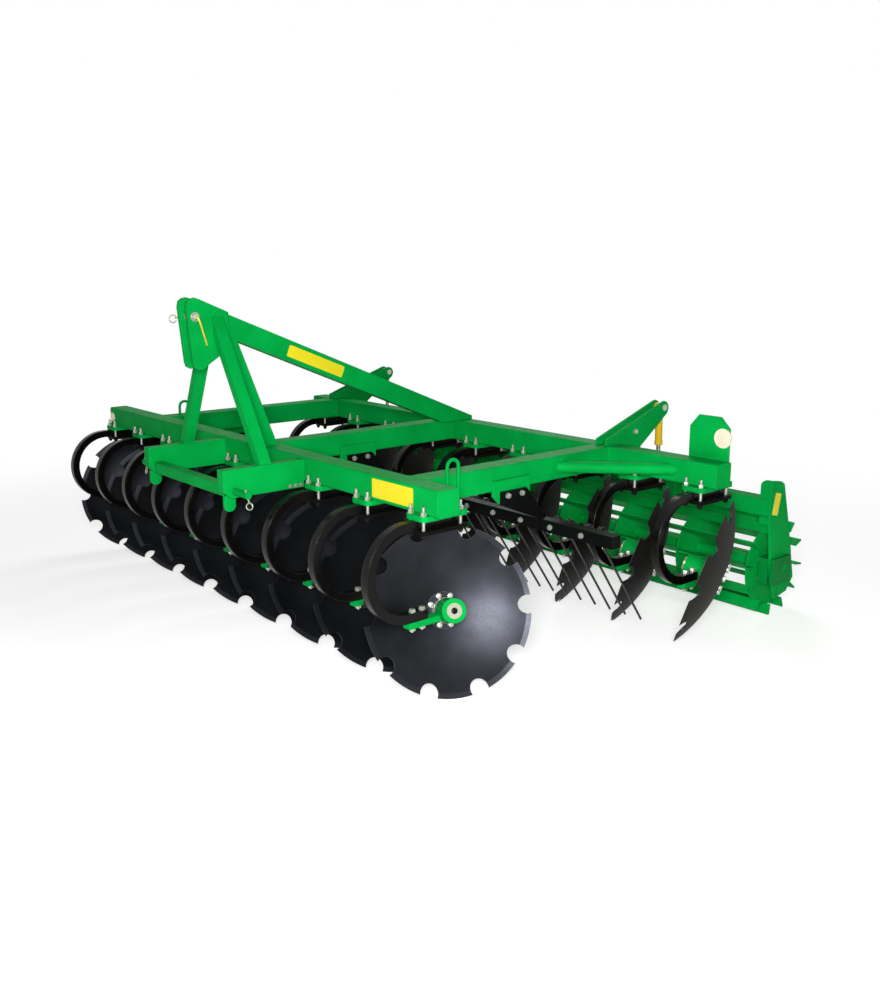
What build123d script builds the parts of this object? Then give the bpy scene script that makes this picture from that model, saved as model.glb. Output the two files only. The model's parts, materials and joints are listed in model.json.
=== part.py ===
from build123d import *
import math
import os

# A three-point mounted compact disc harrow, 3 m working width.
# X runs across the machine (+X is its left-hand end), -Y is the tractor side,
# +Z is up. The model is worked out with Y = 0 at the front beam and Z = 0 on
# the ground, and is shifted at the end so that the origin is the middle of the
# footprint of the whole machine. All sizes are in millimetres.

# ---------------------------------------------------------------- frame sizes
BEAM = 100.0              # side of the square tube of the main frame
BEAM_ROUND = 8.0          # outer corner radius of that tube
ROW_SPACING = 1144.0      # front beam to rear beam, centre to centre
SIDE_BEAM_X = 1035.0      # middle of each side beam from the machine's centre
PLATE = 12.0              # thickness of the welded plates

# ---------------------------------------------------------------- disc sizes
DISC_COUNT = 9            # discs in each row
DISC_PITCH = 1000.0 / 3   # distance between neighbouring discs of a row
FRONT_FIRST_X = 1167.0    # left-hand station of the front row
REAR_FIRST_X = 1538.0     # left-hand station of the rear row
BEAM_BEYOND_LEG = 104.0   # front beam that stands out past the last leg
BEAM_BEYOND_STUB = 43.0   # the same at the front beam's other end
REAR_BEYOND_LEG = 97.0    # the same at both ends of the rear beam
DISC_R = 325.0            # disc radius over the teeth
DISC_T = 6.0              # blade thickness
DISC_DEPTH = 84.0         # how deep the blade is dished
DISC_FLAT_R = 72.0        # flat middle of the blade
DISC_ANGLE = 27.0         # degrees between blade and travel direction
DISC_TILT = 18.0          # degrees that the blade leans
BEVEL = 20.0              # width of the ground cutting edge
EDGE_T = 1.5              # thickness that is left at the rim
NOTCHES = 10
NOTCH_R = 35.0            # radius of each round notch
NOTCH_IN = 13.0           # notch centre inside the rim
RIM_DROP = 486.0          # rim centre below the top of the beams
RIM_BACK = 70.0           # rim centre behind the middle of its beam
RIM_ASIDE = 26.0          # rim centre beside its leg

# ---------------------------------------------------------------- hub sizes
FLANGE_R = 70.0
FLANGE_T = 12.0
BARREL_R = 48.0
BARREL_END = 47.0         # barrel end, measured from the blade along the axle
AXLE_R = 20.0
AXLE_FIT = 0.1            # radial running clearance of the hub on its axle
AXLE_START = 8.0
BOSS_R = 46.0
BOSS_START = 52.0
BOSS_END = 160.0
CARRIER_W = 38.0          # width of the carrier's arm
CARRIER_T = 24.0          # thickness of the carrier's arm

# ---------------------------------------------------------------- spring legs
LEG = 35.0                # side of the square spring steel bar
LEG_REACH = 286.0         # furthest forward point of the leg's middle line
LEG_HEIGHT = 342.0        # between the leg's upper and lower middle lines
LEG_TAIL = 88.0           # straight lower end behind the bend
LEG_HEAD = 140.0          # how far the upper end runs behind the beam's middle
SADDLE_T = 20.0           # clamp plate between beam and leg
KEEPER_T = 14.0           # clamp plate below the leg
CLAMP_X = 110.0           # width of both clamp plates
CLAMP_FRONT = 78.0        # clamp plates in front of the beam's middle
CLAMP_BACK = 145.0        # the same behind it

# ---------------------------------------------------------------- hitch
HITCH_X = 60.0            # middle of the hitch, off the frame's middle
ARM_ASIDE = 331.0         # middle of each lower arm from the hitch's middle
ARM_W = 45.0
ARM_H = 115.0
ARM_DROP = 10.0           # arm's top below the top of the beams
ARM_REACH = 375.0         # length of each arm in front of the beam
ARM_CHAMFER = 32.0
TIE_SIDE = 45.0
TIE_DROP = 76.0           # tie's top below the top of the beams
TIE_FROM_TIP = 22.0
LOW_PIN_R = 14.0          # category 2 lower link pin, 28 mm
LOW_SHANK_R = 17.0        # its thicker shank, welded into the arm
LOW_PIN_OUT = 108.0
LOW_PIN_BACK = 50.0       # pin behind the arm's tip
LOW_PIN_DROP = 98.0       # pin below the top of the beams

# ---------------------------------------------------------------- mast
HEAD_GAP = 60.0           # clear width between the two head plates
HEAD_T = 14.0
TOP_PIN_R = 12.7          # category 2 top link pin, 25.4 mm
TOP_PIN_FIT = 0.3         # radial clearance in the plates
TOP_PIN_OUT = 16.0        # how far the pin stands out of the plates
TOP_PIN_Y = -354.0
TOP_PIN_UP = 573.0        # above the top of the beams
MAST_TUBE_W = 40.0
MAST_TUBE_D = 50.0
MAST_LEAN = 28.1          # degrees from upright
MAST_FOOT_Y = -228.0
MAST_TOP_Y = -251.0
MAST_TOP_UP = 560.0
STRUT_W = 54.0
STRUT_D = 60.0
STRUT_FOOT_Y = -6.0
STRUT_TOP_Y = -206.0
STRUT_TOP_UP = 520.0
TOP_BAR_W = 58.0
TOP_BAR_H = 90.0
TOP_BAR_HEAD_Y = -250.0
TOP_BAR_HEAD_UP = 552.0
TOP_BAR_SLOPE = 22.0      # degrees

# ---------------------------------------------------------------- lifting eyes
EYE_Y = 175.0
EYE_R = 7.0
EYE_BEND_R = 28.0
EYE_UP = 60.0             # top of the eye's middle line above the beams' top
EYE_DOWN = 88.0           # how far its legs run down the beam

# ---------------------------------------------------------------- tine bar
TINE_BAR_Y = 653.0
TINE_BAR_DROP = 265.0
TINE_BAR_SIDE = 50.0
TINE_BAR_HALF = 1500.0
TINE_PITCH = DISC_PITCH / 2
TINE_ASIDE = -27.0        # a tine's bolt from the rear disc it straddles
TINE_COUNT = 17
TINE_R = 5.0
TINE_TIP_Y = 972.0
TINE_TIP_DROP = 680.0
TINE_COIL_R = 24.0

# ---------------------------------------------------------------- roller
ROLLER_Y = 1752.0
ROLLER_R = 229.0
ROLLER_DISC_R = 188.0
ROLLER_DISC_T = 6.0
ROLLER_DISCS = 9
ROLLER_BAY = 375.0
SLATS = 12
SLAT_PHASE = 8.0          # degrees between the lowest slat and the plumb line
SLAT_T = 8.0
SLAT_W = 50.0
SLAT_HALF = 1536.0
SHAFT_R = 30.0
STUB_R = 20.0
END_PLATE_X = 1555.0      # inner face of each end plate
ROLLER_BEAM_SIDE = 80.0
ROLLER_BEAM_Y = 1670.0
ROLLER_BEAM_DROP = 238.0
PIVOT_Y = 1245.0
PIVOT_DROP = 85.0
PIVOT_R = 15.0
ROLLER_ARM_W = 32.0
ROLLER_ARM_H = 80.0
BRACKET_GAP = 42.0
BRACKET_T = 9.0
BRACKET_TIP_Y = 1505.0
BRACKET_TIP_UP = 133.0
SPINDLE_R = 17.0
SPINDLE_ROD_R = 10.0
SPINDLE_FOOT_Y = 1514.0
SPINDLE_FOOT_DROP = 150.0
SPINDLE_PIN_R = 10.0

# ---------------------------------------------------------------- worked out
TILT = math.radians(DISC_TILT)
ANGLE = math.radians(DISC_ANGLE)
DISH_CENTRE = (DISC_R ** 2 - DISC_FLAT_R ** 2 + DISC_DEPTH ** 2) / (2 * DISC_DEPTH)
DISH_R = math.hypot(DISH_CENTRE, DISC_FLAT_R)


def dish(r, below=0.0):
    """Height of the dished blade's hollow face at radius r, or below that face."""
    return DISH_CENTRE - math.sqrt((DISH_R + below) ** 2 - r ** 2)


RIM_LOW = dish(DISC_R, DISC_T)
BEAM_TOP = RIM_DROP + DISC_R * math.cos(TILT) + (DISC_DEPTH - RIM_LOW) * math.sin(TILT)
HALF = BEAM / 2
FRONT_Y = 0.0
REAR_Y = ROW_SPACING
FRONT_STATIONS = [FRONT_FIRST_X - DISC_PITCH * i for i in range(DISC_COUNT)]
REAR_STATIONS = [REAR_FIRST_X - DISC_PITCH * i for i in range(DISC_COUNT)]

nodes = {}


def up(drop):
    """Height above the ground of something that lies drop below the beams' top."""
    return BEAM_TOP - drop


def block(x0, x1, y0, y1, z0, z1):
    centre = Pos((x0 + x1) / 2, (y0 + y1) / 2, (z0 + z1) / 2)
    return centre * Box(abs(x1 - x0), abs(y1 - y0), abs(z1 - z0))


def cyl_between(a, b, radius):
    """Round bar from point a to point b."""
    a, b = Vector(*a), Vector(*b)
    plane = Plane(origin=a, z_dir=b - a)
    return extrude(plane * Circle(radius), (b - a).length)


def bar_between(a, b, width, depth):
    """Box section bar from a to b, its width along X."""
    a, b = Vector(*a), Vector(*b)
    along = b - a
    side = Vector(1, 0, 0) - along * (along.X / along.dot(along))
    plane = Plane(origin=a, x_dir=side, z_dir=along)
    return extrude(plane * Rectangle(width, depth), along.length)


def side_plate(points, x0, x1):
    """Flat plate between x0 and x1 with its outline given as (y, z) points."""
    outline = make_face(Polyline(*[(x0, y, z) for y, z in points], close=True))
    return extrude(outline, x1 - x0, dir=(1, 0, 0))


def keep(name, *solids):
    nodes[name] = list(solids)


# ------------------------------------------------------------- the main frame
def beam(x0, x1, y0, y1):
    solid = block(x0, x1, y0, y1, up(BEAM), up(0))
    axis = Axis.X if x1 - x0 > y1 - y0 else Axis.Y
    return fillet(solid.edges().filter_by(axis), BEAM_ROUND)


FRONT_BEAM_LEFT = FRONT_FIRST_X + BEAM_BEYOND_LEG
FRONT_BEAM_RIGHT = FRONT_STATIONS[-1] - BEAM_BEYOND_STUB
REAR_BEAM_LEFT = REAR_FIRST_X + REAR_BEYOND_LEG
REAR_BEAM_RIGHT = REAR_STATIONS[-1] - REAR_BEYOND_LEG
keep("front_beam", beam(FRONT_BEAM_RIGHT, FRONT_BEAM_LEFT, FRONT_Y - HALF, FRONT_Y + HALF))
keep("rear_beam", beam(REAR_BEAM_RIGHT, REAR_BEAM_LEFT, REAR_Y - HALF, REAR_Y + HALF))
for name, x in (("side_beam_left", SIDE_BEAM_X), ("side_beam_right", -SIDE_BEAM_X), ("centre_beam", 0.0)):
    keep(name, beam(x - HALF, x + HALF, FRONT_Y + HALF, REAR_Y - HALF))

BRACE_R = 24.0
BRACE_RUN_X = 325.0
BRACE_RUN_Y = 302.0
brace_x = SIDE_BEAM_X + HALF
brace_y = REAR_Y - HALF
brace = cyl_between((brace_x - 0.2 * BRACE_RUN_X, brace_y - 1.2 * BRACE_RUN_Y, up(HALF)),
                    (brace_x + 1.2 * BRACE_RUN_X, brace_y + 0.2 * BRACE_RUN_Y, up(HALF)), BRACE_R)
brace -= block(brace_x - 300, brace_x, brace_y - 900, brace_y + 300, up(200), up(-100))
brace -= block(brace_x - 300, brace_x + 900, brace_y, brace_y + 300, up(200), up(-100))
keep("corner_brace", brace)


# ------------------------------------------------------------- lifting eyes
def lifting_eye(x, y):
    """Bent round bar whose two legs are welded to a side beam's outer face."""
    top = up(-EYE_UP + EYE_BEND_R)
    bend = Plane(origin=(x, y, top), z_dir=(1, 0, 0)) * Torus(EYE_BEND_R, EYE_R)
    bend &= block(x - 90, x + 90, y - 90, y + 90, top, top + 90)
    low = up(EYE_DOWN)
    front = cyl_between((x, y - EYE_BEND_R, low), (x, y - EYE_BEND_R, top), EYE_R)
    back = cyl_between((x, y + EYE_BEND_R, low), (x, y + EYE_BEND_R, top), EYE_R)
    return bend + front + back


EYE_X = SIDE_BEAM_X + HALF + EYE_R
keep("lifting_eyes", *[lifting_eye(x, EYE_Y) for x in (EYE_X, -EYE_X)])


# ------------------------------------------------------------- spring legs and clamps
def spring_leg(x, beam_y):
    """C-shaped square bar: straight under the beam, a half turn forward, a tail."""
    half = LEG / 2
    bend_r = LEG_HEIGHT / 2
    top_z = up(BEAM + SADDLE_T + half)
    bend_y = beam_y - LEG_REACH + bend_r
    low_z = top_z - LEG_HEIGHT
    head = block(x - half, x + half, bend_y, beam_y + LEG_HEAD, top_z - half, top_z + half)
    tail = block(x - half, x + half, bend_y, bend_y + LEG_TAIL, low_z - half, low_z + half)
    turn = Plane(origin=(x - half, bend_y, top_z - bend_r), z_dir=(1, 0, 0))
    ring = extrude(turn * (Circle(bend_r + half) - Circle(bend_r - half)), LEG)
    ring -= block(x - LEG, x + LEG, bend_y, bend_y + 2 * bend_r + LEG, low_z - LEG, top_z + LEG)
    return head + ring + tail


def clamp_plates(x, beam_y):
    top = up(BEAM)
    front, back = beam_y - CLAMP_FRONT, beam_y + CLAMP_BACK
    saddle = block(x - CLAMP_X / 2, x + CLAMP_X / 2, front, back, top - SADDLE_T, top)
    low = top - SADDLE_T - LEG
    keeper = block(x - CLAMP_X / 2, x + CLAMP_X / 2, front, back, low - KEEPER_T, low)
    return [fillet(p.edges().filter_by(Axis.Z), 22) for p in (saddle, keeper)]


# ------------------------------------------------------------- discs and their hubs
def disc_plane(x, beam_y, side):
    """Plane at the blade's middle, z towards the hollow side, where the hub is."""
    towards = Vector(side * math.cos(ANGLE) * math.cos(TILT),
                     -math.sin(ANGLE) * math.cos(TILT), math.sin(TILT))
    rim = Vector(x + side * RIM_ASIDE, beam_y + RIM_BACK, up(RIM_DROP))
    across = Vector(0, 0, 1).cross(towards)
    return Plane(origin=rim - towards * DISC_DEPTH, x_dir=across, z_dir=towards)


def disc_blank():
    """Dished blade with its hub flange and barrel, turned about the local Z axis."""
    bore = AXLE_R + AXLE_FIT
    mid = (DISC_FLAT_R + DISC_R) / 2
    grind = DISC_R - BEVEL
    back_r = math.sqrt((DISH_R + DISC_T) ** 2 - (DISH_CENTRE + DISC_T) ** 2)
    profile = [
        Line((bore, AXLE_START), (bore, BARREL_END)),
        Line((bore, BARREL_END), (BARREL_R, BARREL_END)),
        Line((BARREL_R, BARREL_END), (BARREL_R, FLANGE_T)),
        Line((BARREL_R, FLANGE_T), (FLANGE_R, FLANGE_T)),
        Line((FLANGE_R, FLANGE_T), (FLANGE_R, 0)),
        Line((FLANGE_R, 0), (DISC_FLAT_R, 0)),
        ThreePointArc((DISC_FLAT_R, 0), (mid, dish(mid)), (grind, dish(grind))),
        Line((grind, dish(grind)), (DISC_R, RIM_LOW + EDGE_T)),
        Line((DISC_R, RIM_LOW + EDGE_T), (DISC_R, RIM_LOW)),
        ThreePointArc((DISC_R, RIM_LOW), (mid, dish(mid, DISC_T)), (back_r, -DISC_T)),
        Line((back_r, -DISC_T), (0, -DISC_T)),
        Line((0, -DISC_T), (0, AXLE_START)),
        Line((0, AXLE_START), (bore, AXLE_START)),
    ]
    face = make_face(Curve() + [Plane.XZ * edge for edge in profile])
    blank = revolve(face, Axis.Z)
    for i in range(NOTCHES):
        turn = math.radians(360.0 / NOTCHES * (i + 0.5) - 90)
        centre = DISC_R - NOTCH_IN
        notch = Pos(centre * math.cos(turn), centre * math.sin(turn), DISC_DEPTH / 2)
        blank -= notch * Cylinder(NOTCH_R, 2 * DISC_DEPTH)
    return blank


BLANK = disc_blank()


def disc(x, beam_y, side):
    return disc_plane(x, beam_y, side).location * BLANK


def carrier(x, beam_y, side):
    """Fixed boss with its axle, and the arm that is bolted below the leg's tail."""
    plane = disc_plane(x, beam_y, side)
    boss = extrude(plane.offset(BOSS_START) * Circle(BOSS_R), BOSS_END - BOSS_START)
    axle = extrude(plane.offset(AXLE_START + 3) * Circle(AXLE_R), BOSS_START - AXLE_START)
    top = up(BEAM + SADDLE_T + LEG + LEG_HEIGHT)
    front = beam_y - LEG_REACH + LEG_HEIGHT / 2
    arm = block(x - CARRIER_W / 2, x + CARRIER_W / 2, front, beam_y + RIM_BACK, top - CARRIER_T, top)
    hub_side = extrude(plane.offset(BOSS_START) * Circle(4 * BOSS_R), -4 * BOSS_R)
    return boss + (arm - hub_side) + axle


for row, stations, beam_y, side in (("front", FRONT_STATIONS, FRONT_Y, 1), ("rear", REAR_STATIONS, REAR_Y, -1)):
    keep(row + "_legs", *[spring_leg(x, beam_y) for x in stations])
    keep(row + "_clamps", *[plate for x in stations for plate in clamp_plates(x, beam_y)])
    keep(row + "_carriers", *[carrier(x, beam_y, side) for x in stations])
    for i, x in enumerate(stations):
        keep("disc_%s_%d" % (row, i + 1), disc(x, beam_y, side))

# ------------------------------------------------------------- hitch
ARM_TIP_Y = FRONT_Y - HALF - ARM_REACH
LOW_PIN_Y = ARM_TIP_Y + LOW_PIN_BACK
low_pins = []
for name, sign in (("left", 1), ("right", -1)):
    x = HITCH_X + sign * ARM_ASIDE
    top, low = up(ARM_DROP), up(ARM_DROP + ARM_H)
    front, back = ARM_TIP_Y, FRONT_Y - HALF
    arm = side_plate([(back, low), (back, top), (front, top), (front, low + ARM_CHAMFER),
                      (front + ARM_CHAMFER, low)], x - ARM_W / 2, x + ARM_W / 2)
    inner = x - sign * ARM_W / 2
    outer = x + sign * (ARM_W / 2 + LOW_PIN_OUT)
    axis_z = up(LOW_PIN_DROP)
    shank = cyl_between((inner, LOW_PIN_Y, axis_z), (x + sign * ARM_W / 2, LOW_PIN_Y, axis_z), LOW_SHANK_R)
    keep("hitch_arm_" + name, arm - shank)
    low_pins.append(shank + cyl_between((inner, LOW_PIN_Y, axis_z), (outer, LOW_PIN_Y, axis_z), LOW_PIN_R))
keep("lower_link_pins", *low_pins)
tie_y = ARM_TIP_Y + TIE_FROM_TIP
keep("hitch_tie", block(HITCH_X - ARM_ASIDE + ARM_W / 2, HITCH_X + ARM_ASIDE - ARM_W / 2,
                        tie_y, tie_y + TIE_SIDE, up(TIE_DROP + TIE_SIDE), up(TIE_DROP)))

# ------------------------------------------------------------- mast
head_outline = [(-389, up(-610)), (-384, up(-634)), (-368, up(-646)), (-350, up(-650)), (-332, up(-644)),
                (-200, up(-588)), (-200, up(-434)), (-246, up(-408)), (-297, up(-376)), (-320, up(-359)),
                (-344, up(-355)), (-362, up(-365)), (-368, up(-385))]
head_plates = []
for sign in (1, -1):
    x0 = HITCH_X + sign * HEAD_GAP / 2
    x1 = HITCH_X + sign * (HEAD_GAP / 2 + HEAD_T)
    plate = side_plate(head_outline, min(x0, x1), max(x0, x1))
    plate -= cyl_between((x0 - 50, TOP_PIN_Y, up(-TOP_PIN_UP)), (x0 + 50, TOP_PIN_Y, up(-TOP_PIN_UP)),
                         TOP_PIN_R + TOP_PIN_FIT)
    head_plates.append(plate)
keep("mast_head", *head_plates)

legs = []
mast_run = (MAST_TOP_UP + ARM_DROP) * math.tan(math.radians(MAST_LEAN))
for sign in (1, -1):
    face_x = HITCH_X + sign * (HEAD_GAP / 2 + HEAD_T)
    foot = Vector(HITCH_X + sign * ARM_ASIDE, MAST_FOOT_Y, up(ARM_DROP))
    head = Vector(foot.X - sign * mast_run, MAST_TOP_Y, up(-MAST_TOP_UP))
    along = (head - foot).normalized()
    leg = bar_between(tuple(foot - along * 80), tuple(head + along * 60), MAST_TUBE_W, MAST_TUBE_D)
    leg -= block(foot.X - 200, foot.X + 200, foot.Y - 200, foot.Y + 200, up(ARM_DROP + 200), up(ARM_DROP))
    inside = sorted((face_x, face_x - sign * 200))
    leg -= block(inside[0], inside[1], head.Y - 200, head.Y + 200, up(0), up(-900))
    legs.append(leg)
keep("mast_legs", *legs)

strut = bar_between((HITCH_X, STRUT_FOOT_Y + 40, up(100)), (HITCH_X, STRUT_TOP_Y, up(-STRUT_TOP_UP)),
                    STRUT_W, STRUT_D)
strut -= block(HITCH_X - 100, HITCH_X + 100, -200, 300, up(300), up(0))

slope = math.radians(TOP_BAR_SLOPE)
bar_run = 1650.0
bar_head = (HITCH_X, TOP_BAR_HEAD_Y, up(-TOP_BAR_HEAD_UP))
bar_foot = (HITCH_X, TOP_BAR_HEAD_Y + bar_run * math.cos(slope),
            up(-TOP_BAR_HEAD_UP + bar_run * math.sin(slope)))
top_bar = bar_between(bar_head, bar_foot, TOP_BAR_W, TOP_BAR_H)
top_bar -= block(-300, 300, REAR_Y + HALF, REAR_Y + 900, up(900), up(-900))
top_bar -= block(-300, 300, REAR_Y - HALF, REAR_Y + 900, up(900), up(0))
top_bar -= block(-300, 300, 0, REAR_Y + 900, up(900), up(0))
strut -= top_bar
keep("mast_strut", strut)
keep("top_bar", top_bar)
pin_half = HEAD_GAP / 2 + HEAD_T + TOP_PIN_OUT
pin_z = up(-TOP_PIN_UP)
keep("top_link_pin", cyl_between((HITCH_X - pin_half, TOP_PIN_Y, pin_z), (HITCH_X + pin_half, TOP_PIN_Y, pin_z),
                                 TOP_PIN_R))

# ------------------------------------------------------------- tine bar
bar_half = TINE_BAR_SIDE / 2
bar_z = up(TINE_BAR_DROP)
keep("tine_bar", block(-TINE_BAR_HALF, TINE_BAR_HALF, TINE_BAR_Y - bar_half, TINE_BAR_Y + bar_half,
                       bar_z - bar_half, bar_z + bar_half))
LUG_TOP, LUG_LOW = 55.0, 148.0
lugs, arms = [], []
for x, sign in ((SIDE_BEAM_X + HALF, 1), (-SIDE_BEAM_X - HALF, -1), (HALF, 1)):
    edge = sorted((x, x + sign * PLATE))
    lugs.append(side_plate([(385, up(LUG_TOP)), (590, up(LUG_TOP)), (590, up(LUG_LOW - 30)),
                            (560, up(LUG_LOW)), (415, up(LUG_LOW)), (385, up(LUG_LOW - 30))], *edge))
    edge = sorted((x + sign * PLATE, x + sign * 2 * PLATE))
    arms.append(side_plate([(420, up(100)), (560, up(100)), (TINE_BAR_Y + bar_half, bar_z + bar_half),
                            (TINE_BAR_Y - bar_half, bar_z + bar_half), (420, up(155))], *edge))
keep("tine_bar_lugs", *lugs)
keep("tine_bar_arms", *arms)


def double_tine(x):
    """Two sprung wires, each with its coil behind the bar, and the bolted yoke that holds them."""
    half = TINE_PITCH / 4
    coil_y = TINE_BAR_Y + bar_half + TINE_COIL_R + TINE_R
    yoke = block(x - half, x + half, coil_y - TINE_R, coil_y + TINE_R, bar_z - TINE_R, bar_z + TINE_R)
    yoke += block(x - 20, x + 20, TINE_BAR_Y + bar_half, coil_y, bar_z - 18, bar_z + 18)
    wires = []
    for side_x in (x - half, x + half):
        coil = cyl_between((side_x - 14, coil_y, bar_z), (side_x + 14, coil_y, bar_z), TINE_COIL_R + TINE_R)
        wire = coil + cyl_between((side_x, coil_y, bar_z), (side_x, TINE_TIP_Y, up(TINE_TIP_DROP)), TINE_R)
        yoke -= wire
        wires.append(wire)
    return wires + [yoke]


tine_first = REAR_FIRST_X + TINE_ASIDE - TINE_PITCH
keep("tines", *[piece for i in range(TINE_COUNT) for piece in double_tine(tine_first - TINE_PITCH * i)])

# ------------------------------------------------------------- roller and its frame
phase = math.radians(SLAT_PHASE)
ROLLER_Z = ROLLER_R * math.cos(phase) + SLAT_T / 2 * math.sin(phase)
shaft = cyl_between((-SLAT_HALF + 30, ROLLER_Y, ROLLER_Z), (SLAT_HALF - 30, ROLLER_Y, ROLLER_Z), SHAFT_R)
stub_end = END_PLATE_X + PLATE + 14
shaft += cyl_between((-stub_end, ROLLER_Y, ROLLER_Z), (stub_end, ROLLER_Y, ROLLER_Z), STUB_R)
keep("roller_shaft", shaft)

slats = []
for i in range(SLATS):
    slat = block(-SLAT_HALF, SLAT_HALF, -SLAT_T / 2, SLAT_T / 2, ROLLER_R - SLAT_W, ROLLER_R)
    slats.append(Pos(0, ROLLER_Y, ROLLER_Z) * Rot(180 - SLAT_PHASE + 360.0 / SLATS * i, 0, 0) * slat)
keep("roller_slats", *slats)

roller_discs = []
for i in range(ROLLER_DISCS):
    x = (i - (ROLLER_DISCS - 1) / 2) * ROLLER_BAY
    plate = cyl_between((x - ROLLER_DISC_T / 2, ROLLER_Y, ROLLER_Z), (x + ROLLER_DISC_T / 2, ROLLER_Y, ROLLER_Z),
                        ROLLER_DISC_R)
    plate -= shaft
    for slat in slats:
        plate -= slat
    roller_discs.append(plate)
keep("roller_discs", *roller_discs)

beam_z0, beam_z1 = up(ROLLER_BEAM_DROP + ROLLER_BEAM_SIDE), up(ROLLER_BEAM_DROP)
BEAM_FRONT = ROLLER_BEAM_Y - ROLLER_BEAM_SIDE / 2
roller_beam = block(-END_PLATE_X, END_PLATE_X, BEAM_FRONT, BEAM_FRONT + ROLLER_BEAM_SIDE, beam_z0, beam_z1)
keep("roller_beam", fillet(roller_beam.edges().filter_by(Axis.X), BEAM_ROUND))

end_outline = [(1640, up(152)), (1705, up(162)), (1731, up(177)), (1793, up(389)), (1854, up(632)),
               (1802, up(690)), (1703, up(708)), (1668, up(600)), (1628, up(326)), (1625, up(215)),
               (1630, up(172))]
FLANGE_DEPTH = 203.0      # length of the plate's turned-in front flange
FLANGE_ROUND = 30.0       # radius of the flange's upper inner corner
ends = []
for sign in (1, -1):
    edge = sorted((sign * END_PLATE_X, sign * (END_PLATE_X + PLATE)))
    plate = side_plate(end_outline, *edge)
    plate -= cyl_between((sign * (END_PLATE_X - 50), ROLLER_Y, ROLLER_Z),
                         (sign * (END_PLATE_X + 90), ROLLER_Y, ROLLER_Z), STUB_R + 6)
    edge = sorted((sign * (END_PLATE_X - 45), sign * END_PLATE_X))
    low = up(ROLLER_BEAM_DROP + ROLLER_BEAM_SIDE)
    flange = side_plate([(1630, up(152)), (1640, up(152)), (1640, beam_z1), (BEAM_FRONT, beam_z1)], *edge)
    flange += side_plate([(BEAM_FRONT, low), (BEAM_FRONT + 12, low), (1645, up(152 + FLANGE_DEPTH)),
                          (1633, up(152 + FLANGE_DEPTH))], *edge)
    inner = sign * (END_PLATE_X - 45)
    middle = inner + sign * FLANGE_ROUND
    edge = sorted((inner, middle))
    corner = block(edge[0], edge[1], 1600, 1660, up(152 + FLANGE_ROUND), up(152))
    flange -= corner - cyl_between((middle, 1590, up(152 + FLANGE_ROUND)),
                                   (middle, 1670, up(152 + FLANGE_ROUND)), FLANGE_ROUND)
    ends.append(plate + flange)
keep("roller_end_plates", *ends)

housings = []
for sign in (1, -1):
    for near, far in ((END_PLATE_X - 46, END_PLATE_X), (END_PLATE_X + PLATE, END_PLATE_X + PLATE + 17)):
        edge = sorted((sign * near, sign * far))
        housing = block(edge[0], edge[1], ROLLER_Y - 100, ROLLER_Y + 45, ROLLER_Z - 64, ROLLER_Z + 56)
        housing -= cyl_between((sign * (near - 5), ROLLER_Y, ROLLER_Z), (sign * (far + 5), ROLLER_Y, ROLLER_Z),
                               STUB_R + AXLE_FIT)
        housings.append(housing)
keep("roller_bearings", *housings)

roller_arms = []
brackets = []
for sign in (1, -1):
    x = sign * SIDE_BEAM_X
    pivot = Vector(x, PIVOT_Y, up(PIVOT_DROP))
    end = Vector(x, ROLLER_BEAM_Y, up(ROLLER_BEAM_DROP + ROLLER_BEAM_SIDE / 2))
    arm = bar_between(tuple(pivot), tuple(end), ROLLER_ARM_W, ROLLER_ARM_H)
    arm += cyl_between((x - ROLLER_ARM_W / 2, PIVOT_Y, up(PIVOT_DROP)),
                       (x + ROLLER_ARM_W / 2, PIVOT_Y, up(PIVOT_DROP)), ROLLER_ARM_H / 2)
    arm -= block(x - 100, x + 100, BEAM_FRONT, BEAM_FRONT + 300, up(600), up(0))
    arm -= cyl_between((x - 100, PIVOT_Y, up(PIVOT_DROP)), (x + 100, PIVOT_Y, up(PIVOT_DROP)),
                       PIVOT_R + AXLE_FIT)
    lug = block(x - ROLLER_ARM_W / 2, x + ROLLER_ARM_W / 2, SPINDLE_FOOT_Y - 26, SPINDLE_FOOT_Y + 26,
                up(SPINDLE_FOOT_DROP + 70), up(SPINDLE_FOOT_DROP - 22))
    slot = block(x - 11, x + 11, SPINDLE_FOOT_Y - 40, SPINDLE_FOOT_Y + 40,
                 up(SPINDLE_FOOT_DROP + 26), up(SPINDLE_FOOT_DROP - 60))
    arm += lug
    arm -= slot
    arm -= cyl_between((x - 60, SPINDLE_FOOT_Y, up(SPINDLE_FOOT_DROP)),
                       (x + 60, SPINDLE_FOOT_Y, up(SPINDLE_FOOT_DROP)), SPINDLE_PIN_R)
    roller_arms.append(arm)
    outline = [(1097, up(0)), (1097, up(-26)), (1488, up(-160)), (1505, up(-164)), (1523, up(-157)),
               (1534, up(-143)), (1536, up(-126)), (1528, up(-106)), (1342, up(27)), (1305, up(62)),
               (1292, up(110)), (1270, up(128)), (1194, up(128)), (1194, up(0))]
    for hand in (1, -1):
        edge = sorted((x + hand * BRACKET_GAP / 2, x + hand * (BRACKET_GAP / 2 + BRACKET_T)))
        plate = side_plate(outline, *edge)
        plate -= cyl_between((x - 100, PIVOT_Y, up(PIVOT_DROP)), (x + 100, PIVOT_Y, up(PIVOT_DROP)), PIVOT_R)
        plate -= cyl_between((x - 100, BRACKET_TIP_Y, up(-BRACKET_TIP_UP)),
                             (x + 100, BRACKET_TIP_Y, up(-BRACKET_TIP_UP)), SPINDLE_PIN_R)
        brackets.append(plate)
keep("roller_arms", *roller_arms)
keep("roller_brackets", *brackets)

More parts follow.
